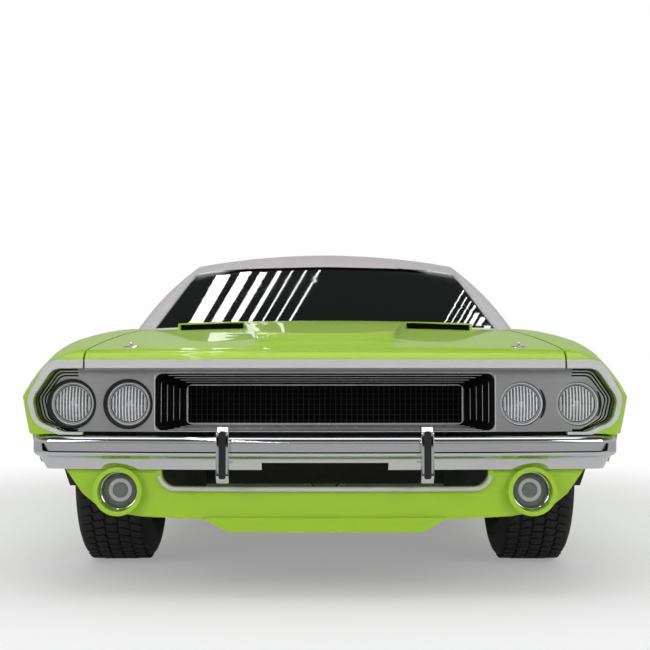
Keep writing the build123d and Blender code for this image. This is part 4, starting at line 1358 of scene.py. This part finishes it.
def build_dash():
    """Gauges, radio, vents, glovebox, shifter, pedals and mirror."""
    dash = Surface("dashboard")

    def face(x, z):
        spot, look = dash.hit((x, 0.05, z), (0, -1, 0))
        return facing(spot, look) if spot else None

    gauges = [(x, 0.735, r) for x, r in ((0.230, 0.036), (0.320, 0.046), (0.425, 0.046), (0.515, 0.036),
                                         (0.590, 0.026))]
    dials = [(face(x, z), r) for x, z, r in gauges if face(x, z)]

    def bezels(bm):
        for place, radius in dials:
            turned(bm, [(radius, -0.002), (radius + 0.001, 0.006), (radius + 0.0035, 0.008),
                        (radius + 0.006, 0.006),
                        (radius + 0.007, -0.002)], place, 40, closed=True)
        for x in (0.06, -0.06):
            place = face(x, 0.690)
            if place:
                turned(bm, [(0.0, 0.020), (0.009, 0.0195), (0.012, 0.016), (0.012, -0.001)], place, 28)
    made("gauge_bezels", "car", "trim", bezels, material="bright")

    def faces(bm):
        for place, radius in dials:
            turned(bm, [(0.0, 0.0012), (radius, 0.0010), (radius + 0.002, -0.001)], place, 40)
    made("gauge_faces", "car", "trim", faces, material="black_and_painted_shade")

    def marks(bm):
        for place, radius in dials:
            for k in range(17):
                arm = place @ Matrix.Rotation(radians(-225 + 270 * k / 16 + 180), 4, "Z")
                block(bm, arm @ Matrix.Translation((radius * 0.84, 0, 0.0018)),
                      (radius * 0.16, 0.0012, 0.0006))
            block(bm, place @ Matrix.Rotation(2.4, 4, "Z") @ Matrix.Translation((radius * 0.33, 0, 0.0030)),
                  (radius * 0.72, 0.0018, 0.0008))
    made("gauge_marks", "car", "trim", marks, material="frosted_glow")

    def radio(bm):
        place = face(0.0, 0.690)
        if place:
            block(bm, place, (0.180, 0.052, 0.008), 0.002)
        for x in (-0.26, -0.60):
            vent = face(x, 0.765)
            if vent:
                for k in range(5):
                    block(bm, vent @ Matrix.Translation((0, 0.014 - 0.007 * k, 0.002)),
                          (0.085, 0.003, 0.006), 0.0008)
        box = face(-0.42, 0.690)
        if box:
            block(bm, box, (0.300, 0.110, 0.006), 0.002)
    made("dash_fittings", "car", "trim", radio, material="rubber")
    for name, length, base in (("brake_pedal", 0.055, (0.34, -0.700, 0.42)),
                               ("clutch_pedal", 0.050, (0.46, -0.700, 0.42)),
                               ("throttle_pedal", 0.045, (0.24, -0.720, 0.40))):
        foot = Vector(base)
        rod(name + "_arm", [[foot + Vector((0, -0.005, 0.01)), foot + Vector((0, -0.06, 0.16)),
                             foot + Vector((0, -0.09, 0.24))]],
            0.006, "car", "steel", 8)
        made(name, "car", "trim",
             lambda bm: [block(bm, facing(foot, (0, 1, 0.5)), (length, 0.065, 0.012), 0.003)]
             + [block(bm, facing(foot, (0, 1, 0.5)) @ Matrix.Translation((0, 0.024 - 0.012 * k, 0.007)),
                      (length - 0.01, 0.004, 0.004), 0.001) for k in range(5)], material="rubber")
    floor = Surface("floor_pan")
    spot = floor.hit((0.0, -0.27, 0.8), (0, 0, -1))[0]
    lean = Vector((0.01, 0.07, 0.30))
    rod("shift_lever", [[spot, spot + lean * 0.5, spot + lean]], 0.0060, "car", "steel", 10,
        material="chrome")

    def gear(bm):
        turned(bm, [(0.0, 0.026), (0.012, 0.024), (0.020, 0.014), (0.022, 0.002), (0.016, -0.014),
                    (0.008, -0.022), (0.0, -0.022)],
               facing(spot + lean, lean), 32)
        turned(bm, [(0.0, 0.060), (0.012, 0.058), (0.020, 0.046), (0.030, 0.030), (0.044, 0.014),
                    (0.062, 0.002), (0.064, -0.004)],
               facing(spot, (0, 0, 1)), 32)
    made("shift_knob_and_boot", "car", "trim", gear, material="rubber")
    console = floor.hit((0.0, 0.12, 0.8), (0, 0, -1))[0]
    made("console", "car", "trim",
         lambda bm: block(bm, Matrix.Translation(console + Vector((0, 0, 0.030))),
                          (0.190, 0.420, 0.075), 0.012))
    roof = Surface("windscreen")
    top = roof.hit((0, -0.42, 0.90), (0, 0, 1))[0]
    rod("mirror_arm", [[top + Vector((0, 0.004, -0.012)), top + Vector((0, 0.030, -0.040)),
                        top + Vector((0, 0.060, -0.050))]],
        0.0045, "car", "trim", 8)
    made("mirror", "car", "trim",
         lambda bm: block(bm, facing(top + Vector((0, 0.062, -0.052)), (0.12, 1, -0.1)),
                          (0.240, 0.052, 0.016), 0.006))
    made("mirror_glass", "car", "chrome",
         lambda bm: block(bm, facing(top + Vector((0.001, 0.0705, -0.0529)), (0.12, 1, -0.1)),
                          (0.226, 0.040, 0.002), 0.0008))


def build_door_cards():
    """Armrests, pull, window crank and lock button inside each door."""
    for hand, side in HANDS.items():
        body, door = f"door_{hand}", Surface(f"door_{hand}")

        def at(y, z):
            spot, look = door.hit((side * 0.35, y, z), (side, 0, 0))
            return facing(spot, look)

        def rest(bm):
            block(bm, at(0.16, 0.620) @ Matrix.Translation((0, 0, 0.026)), (0.360, 0.048, 0.056), 0.014)
            block(bm, at(0.05, 0.470) @ Matrix.Translation((0, 0, 0.003)), (0.860, 0.150, 0.010), 0.004)
        made(f"armrest_{hand}", body, "trim", rest)

        def metal(bm):
            crank = at(0.02, 0.560)
            turned(bm, [(0.0, 0.016), (0.012, 0.016), (0.018, 0.010), (0.022, -0.001)], crank, 28)
            block(bm, crank @ Matrix.Translation((0.045, 0.0, 0.016)), (0.110, 0.014, 0.006), 0.0025)
            turned(bm, [(0.0, 0.040), (0.008, 0.039), (0.010, 0.034), (0.008, 0.016)],
                   crank @ Matrix.Translation((0.094, 0, 0)), 20)
            latch = at(-0.22, 0.690)
            turned(bm, [(0.0, 0.010), (0.024, 0.009), (0.028, -0.001)], latch, 28)
            block(bm, latch @ Matrix.Translation((0.040, 0.0, 0.016)), (0.095, 0.016, 0.006), 0.0025)
            block(bm, at(0.05, 0.555) @ Matrix.Translation((0, 0, 0.001)), (0.980, 0.006, 0.005), 0.002)
            block(bm, at(0.05, 0.385) @ Matrix.Translation((0, 0, 0.001)), (0.860, 0.006, 0.005), 0.002)
        made(f"door_fittings_{hand}", body, "chrome", metal)


def coil(centre, radius, low, high, turns):
    """A helix along Z."""
    count = turns * 16
    return [Vector((centre[0] + radius * cos(2 * pi * k / 16), centre[1] + radius * sin(2 * pi * k / 16),
                    low + (high - low) * k / count)) for k in range(count + 1)]


AIR_Y, AIR_Z = -1.38, 0.742


def build_engine_bay():
    """Air cleaner, intake, rocker covers, belt, radiator, fan, battery, distributor and booster."""
    def cleaner(bm):
        place = Matrix.Translation((0, AIR_Y, AIR_Z))
        turned(bm, [(0.0, 0.062), (0.020, 0.062), (0.030, 0.056), (0.150, 0.056), (0.172, 0.050),
                    (0.180, 0.040),
                    (0.180, 0.034)], place, 64)
    made("air_cleaner_lid", "car", "iron", cleaner, material="chrome")

    def element(bm):
        place = Matrix.Translation((0, AIR_Y, AIR_Z))
        turned(bm, [(0.165, 0.036), (0.165, 0.012), (0.176, 0.008), (0.176, 0.002), (0.060, -0.001),
                    (0.0, -0.001)], place, 64)
        for k in range(72):
            arm = place @ Matrix.Rotation(2 * pi * k / 72, 4, "Z") @ Matrix.Translation((0.165, 0, 0.024))
            block(bm, arm, (0.006, 0.005, 0.022))
    made("air_cleaner", "car", "iron", element)
    wing = [Vector((0.022 * cos(a), AIR_Y + 0.008 * sin(a),
                    AIR_Z + 0.067)) for a in [2 * pi * k / 20 for k in range(21)]]
    rod("air_cleaner_nut", [wing], 0.0030, "car", "iron", 8, material="chrome")

    def covers(bm):
        for side in (1, -1):
            place = Matrix.Translation((side * 0.205, -1.42, 0.696)) @ Matrix.Rotation(side * 0.40, 4, "Y")
            block(bm, place, (0.130, 0.600, 0.070), 0.018)
            for k in range(8):
                block(bm, place @ Matrix.Translation((0, -0.245 + 0.07 * k, 0.036)), (0.095, 0.010, 0.006),
                      0.002)
    made("rocker_covers", "car", "iron", covers, material="silver")

    def intake(bm):
        block(bm, Matrix.Translation((0, -1.42, 0.700)), (0.200, 0.520, 0.040), 0.012)
        turned(bm, [(0.085, 0.050), (0.085, 0.018), (0.100, 0.010), (0.100, 0.0), (0.0, 0.0)],
               Matrix.Translation((0, AIR_Y, 0.712)), 40)
    made("intake_manifold", "car", "iron", intake, material="steel")

    def pulleys(bm):
        for x, z, radius in ((0.0, 0.330, 0.075), (0.0, 0.465, 0.060), (0.150, 0.560, 0.036),
                             (-0.160, 0.520, 0.044)):
            place = facing((x, -1.842, z), (0, -1, 0))
            turned(bm, [(0.0, 0.006), (radius * 0.35, 0.008), (radius * 0.45, 0.002),
                        (radius * 0.85, 0.002), (radius, 0.012),
                        (radius * 0.92, 0.018), (radius, 0.024), (radius * 0.97, 0.028),
                        (radius * 0.4, 0.020),
                        (0.0, 0.020)], place, 40)
    made("pulleys", "car", "steel", pulleys, material="silver")
    belt = [(0.0745, 0.330), (0.186, 0.560), (0.150, 0.596), (-0.160, 0.564), (-0.204, 0.520),
            (-0.0745, 0.330), (0.0, 0.2555)]
    loop = divided([Vector(p) for p in belt], 0.03)
    rod("fan_belt", [[Vector((p.x, -1.862, p.y)) for p in loop]], 0.0055, "car", "iron", 6,
        material="rubber")

    def radiator(bm):
        block(bm, Matrix.Translation((0, RADIATOR_Y, 0.560)), (0.620, 0.050, 0.030), 0.010)
        block(bm, Matrix.Translation((0, RADIATOR_Y, 0.360)), (0.620, 0.050, 0.030), 0.010)
        for x in (-0.312, 0.312):
            block(bm, Matrix.Translation((x, RADIATOR_Y, 0.460)), (0.014, 0.050, 0.210), 0.003)
        turned(bm, [(0.0, 0.018), (0.026, 0.017), (0.030, 0.010), (0.030, 0.002), (0.022, -0.004)],
               Matrix.Translation((0.16, RADIATOR_Y, 0.577)), 36)
    made("radiator", "car", "steel", radiator, material="black_metal")

    def fins(bm):
        block(bm, Matrix(), (0.0018, 0.036, 0.176))
    spots = [(Vector((-0.300 + 0.0075 * k, RADIATOR_Y, 0.460)), Vector((0, 0, 1)),
              Vector((1, 0, 0))) for k in range(81)]
    scatter("radiator_fins", fins, spots, "car", "steel", "black_metal")

    def fan(bm):
        place = facing((0, -1.885, 0.465), (0, -1, 0))
        turned(bm, [(0.0, 0.012), (0.030, 0.010), (0.036, 0.0), (0.036, -0.030)], place, 32)
        for k in range(6):
            arm = place @ Matrix.Rotation(2 * pi * k / 6, 4, "Z") @ Matrix.Translation((0.100, 0, 0))
            block(bm, arm @ Matrix.Rotation(0.5, 4, "X"), (0.140, 0.066, 0.0025), 0.001)
    made("fan", "car", "steel", fan, material="silver")

    def battery(bm):
        block(bm, Matrix.Translation((-0.52, -1.98, 0.560)), (0.170, 0.240, 0.180), 0.006)
        for k in range(3):
            for x in (-0.55, -0.50):
                turned(bm, [(0.0, 0.008), (0.011, 0.007), (0.012, -0.001)],
                       Matrix.Translation((x, -2.05 + 0.07 * k, 0.650)), 16)
    made("battery", "car", "iron", battery, material="rubber")

    def cap(bm):
        turned(bm, [(0.0, 0.066), (0.030, 0.062), (0.052, 0.046), (0.056, 0.020), (0.060, 0.0),
                    (0.060, -0.020)],
               Matrix.Translation((0, -0.995, 0.690)), 36)
    made("distributor_cap", "car", "iron", cap, material="rubber")

    def booster(bm):
        place = facing((0.42, -0.925, 0.700), (0, -1, 0))
        turned(bm, [(0.0, 0.085), (0.045, 0.083), (0.100, 0.060), (0.112, 0.040), (0.112, 0.018),
                    (0.095, 0.004)], place, 48)
        block(bm, place @ Matrix.Translation((0, 0.0, 0.150)), (0.070, 0.060, 0.130), 0.008)
    made("brake_booster", "car", "steel", booster, material="black_metal")


def build_springs():
    """Front coil springs and dampers, and rear dampers."""
    coils = [coil((side * 0.520, -1.5), 0.052, 0.335, 0.560, 7) for side in (1, -1)]
    rod("coil_springs", coils, 0.0068, "car", "steel", 8, material="black_metal")
    dampers = [[(side * 0.520, -1.5, 0.300), (side * 0.520, -1.5, 0.470)] for side in (1, -1)]
    dampers += [[(side * 0.400, 1.36, 0.300), (side * 0.330, 1.50, 0.440)] for side in (1, -1)]
    rod("damper_bodies", dampers, 0.022, "car", "steel", 20, material="black_metal")
    shafts = [[(side * 0.520, -1.5, 0.465), (side * 0.520, -1.5, 0.585)] for side in (1, -1)]
    rod("damper_shafts", shafts, 0.0075, "car", "steel", 10)


build_seats()
build_steering()
build_dash()
build_door_cards()
build_engine_bay()
build_springs()


def floor_material():
    """Softly shadowed near the car, plain white further out and wherever nothing falls on it."""
    material = bpy.data.materials.new("floor")
    material.use_nodes = True
    net = Nodes()
    net.tree = material.node_tree
    shader = net.tree.nodes["Principled BSDF"]
    shader.inputs["Base Color"].default_value = (0.86, 0.86, 0.86, 1)
    shader.inputs["Roughness"].default_value = 0.8
    path = net.tree.nodes.new("ShaderNodeLightPath")
    kinds = ("Is Camera Ray", "Is Glossy Ray", "Is Transmission Ray")
    rays = [Wire(net.tree, path.outputs[kind]) for kind in kinds]
    spot = net.node("ShaderNodeTexCoord", output="Object")
    flat = net.node("ShaderNodeMapping", Vector=spot, Scale=(0.45, 0.30, 0.0))
    reach = net.node("ShaderNodeVectorMath", {"operation": "LENGTH"}, 1, Vector=flat)
    far = net.node("ShaderNodeMapRange", {"interpolation_type": "SMOOTHSTEP"}, Value=reach, From_Min=0.55,
                   From_Max=1.5,
                   To_Min=0.30, To_Max=1.0)
    plain = net.node("ShaderNodeEmission", Color=(1, 1, 1, 1), Strength=1.0 - 0.58 * rays[1])
    seen = (rays[0] + rays[1] + rays[2]).clip() * far
    mixed = net.node("ShaderNodeMixShader", Fac=seen, n1=Wire(net.tree, shader.outputs[0]), n2=plain)
    net.tree.links.new(mixed.socket, net.tree.nodes["Material Output"].inputs["Surface"])
    return material


def mirror_only(name, strength):
    """Light, or its absence, that shows only in reflections."""
    material = bpy.data.materials.new(name)
    material.use_nodes = True
    net = Nodes()
    net.tree = material.node_tree
    net.tree.nodes.remove(net.tree.nodes["Principled BSDF"])
    path = net.tree.nodes.new("ShaderNodeLightPath")
    glow = net.node("ShaderNodeEmission", Color=(1, 1, 1, 1), Strength=strength)
    clear = net.node("ShaderNodeBsdfTransparent")
    mixed = net.node("ShaderNodeMixShader", Fac=Wire(net.tree, path.outputs["Is Glossy Ray"]), n1=clear,
                     n2=glow)
    net.tree.links.new(mixed.socket, net.tree.nodes["Material Output"].inputs["Surface"])
    return material


def reflector(name, strength, build):
    """A stage piece that only mirrors see."""
    piece = mesh_piece(name, build, 0.0)
    piece.data.materials.append(mirror_only(name, strength))
    for ray in ("visible_camera", "visible_diffuse", "visible_shadow", "visible_transmission"):
        setattr(piece, ray, False)


# left and right edge of each glare bar at the glass's foot, then at its head
BARS = [
    (-0.728, -0.621, -0.640, -0.530), (-0.588, -0.532, -0.495, -0.429),
    (-0.499, -0.455, -0.389, -0.337), (-0.417, -0.386, -0.297, -0.263),
    (-0.346, -0.328, -0.217, -0.197), (-0.287, -0.280, -0.152, -0.144),
    (-0.231, -0.224, -0.088, -0.079), (-0.175, -0.166, -0.024, -0.015),
    (0.483, 0.489, 0.717, 0.723), (0.513, 0.518, 0.751, 0.757),
    (0.541, 0.547, 0.782, 0.789), (0.566, 0.577, 0.811, 0.822),
    (0.591, 0.610, 0.838, 0.858), (0.625, 0.648, 0.876, 0.900),
    (0.661, 0.690, 0.916, 0.948), (0.701, 0.731, 0.961, 0.995),
]
CEILING = 5.05


def glare_bars(bm):
    """Slanted light bars over the car, placed where the windscreen mirrors them to the camera."""
    glass = Surface("windscreen")

    def mirrored(x, share):
        edge = 0.724 - 0.128 * share
        x = max(-edge, min(edge, x))
        spot, look = glass.hit(EYE, Vector((x, -0.90 + 0.63 * share, 0.863 + 0.317 * share)) - EYE)
        if spot is None:
            return None
        ray = (spot - EYE).normalized().reflect(look)
        return bm.verts.new(spot + ray * ((CEILING - spot.z) / ray.z))

    for foot_left, foot_right, head_left, head_right in BARS:
        ladder = []
        for step in range(-1, 17):
            share = step / 16
            left = mirrored(foot_left + (head_left - foot_left) * share, share)
            right = mirrored(foot_right + (head_right - foot_right) * share, share)
            ladder.append((left, right) if left and right and (left.co - right.co).length > 0.004 else None)
        for near, far in zip(ladder, ladder[1:]):
            if near and far:
                bm.faces.new((near[0], near[1], far[1], far[0]))


def flags(bm):
    """Dark cards low in front of the car, for contrast in the bright metal."""
    reach = 7
    for low, high, near, far in ((0.01, 0.01, -3.1, -4.4), (0.52, 1.05, -8.5, -8.5)):
        corners = ((-reach, near, low), (reach, near, low), (reach, far, high), (-reach, far, high))
        bm.faces.new([bm.verts.new(corner) for corner in corners])


def sky():
    """Even fill light, white to the camera. Mirrors see a white horizon under a dark ceiling."""
    world = bpy.data.worlds.new("world")
    bpy.context.scene.world = world
    world.use_nodes = True
    net = Nodes()
    net.tree = world.node_tree
    fill = net.tree.nodes["Background"]
    fill.inputs["Color"].default_value = (1, 1, 1, 1)
    fill.inputs["Strength"].default_value = 0.42
    path = net.tree.nodes.new("ShaderNodeLightPath")
    spot = net.node("ShaderNodeTexCoord", output="Generated")
    height = net.node("ShaderNodeSeparateXYZ", output="Z", Vector=spot)
    dusk = net.node("ShaderNodeValToRGB",
                    {"stops": [(0.0, (0.5, 0.5, 0.5)), (0.25, (0.6, 0.6, 0.6)), (0.5, (0.12, 0.12, 0.12)),
                               (1.0, (0.02, 0.02, 0.02))]}, Fac=height.clip())
    mirrored = net.node("ShaderNodeBackground", Color=dusk, Strength=0.9)
    white = net.node("ShaderNodeBackground", Color=(1, 1, 1, 1), Strength=1.0)
    fill_or_mirror = net.node("ShaderNodeMixShader", Fac=Wire(net.tree, path.outputs["Is Glossy Ray"]),
                              n1=Wire(net.tree, fill.outputs[0]), n2=mirrored)
    seen = Wire(net.tree, path.outputs["Is Camera Ray"])
    direct = (seen + Wire(net.tree, path.outputs["Is Transmission Ray"])).clip()
    mixed = net.node("ShaderNodeMixShader", Fac=direct, n1=fill_or_mirror, n2=white)
    net.tree.links.new(mixed.socket, net.tree.nodes["World Output"].inputs["Surface"])


def studio():
    """Floor, lamps, world and the camera at the photograph's viewing angle."""
    floor = mesh_piece("floor", lambda bm: bmesh.ops.create_grid(bm, x_segments=1, y_segments=1, size=60))
    floor.data.materials.append(floor_material())
    reflector("glare_bars", 9.0, glare_bars)
    reflector("flags", 0.0, flags)
    sky()

    def softbox(name, place, aim, size, power):
        lamp = bpy.data.lights.new(name, "AREA")
        lamp.shape = "RECTANGLE"
        lamp.size, lamp.size_y = size
        lamp.energy = power
        holder = linked(name, lamp)
        holder.location = place
        holder.rotation_euler = (Vector(aim) - Vector(place)).to_track_quat("-Z", "Y").to_euler()
        holder.visible_glossy = name != "rear"

    softbox("overhead", (0, -1.8, 5.2), (0, -0.3, 0.6), (5.0, 5.0), 120)
    softbox("front_left", (4.5, -6.5, 3.0), (0, -1.5, 0.5), (3.0, 2.4), 100)
    softbox("front_right", (-4.5, -6.5, 3.0), (0, -1.5, 0.5), (3.0, 2.4), 100)
    softbox("rear", (0, 7.5, 3.2), (0, 1.5, 0.6), (6.0, 2.0), 130)

    camera = bpy.data.cameras.new("camera")
    camera.lens = 66.85
    camera.sensor_width = 36
    holder = linked("camera", camera)
    holder.location = EYE
    holder.rotation_euler = (radians(90 + 2.52), 0, 0)
    bpy.context.scene.camera = holder
    bpy.context.scene.view_settings.view_transform = "Standard"


studio()
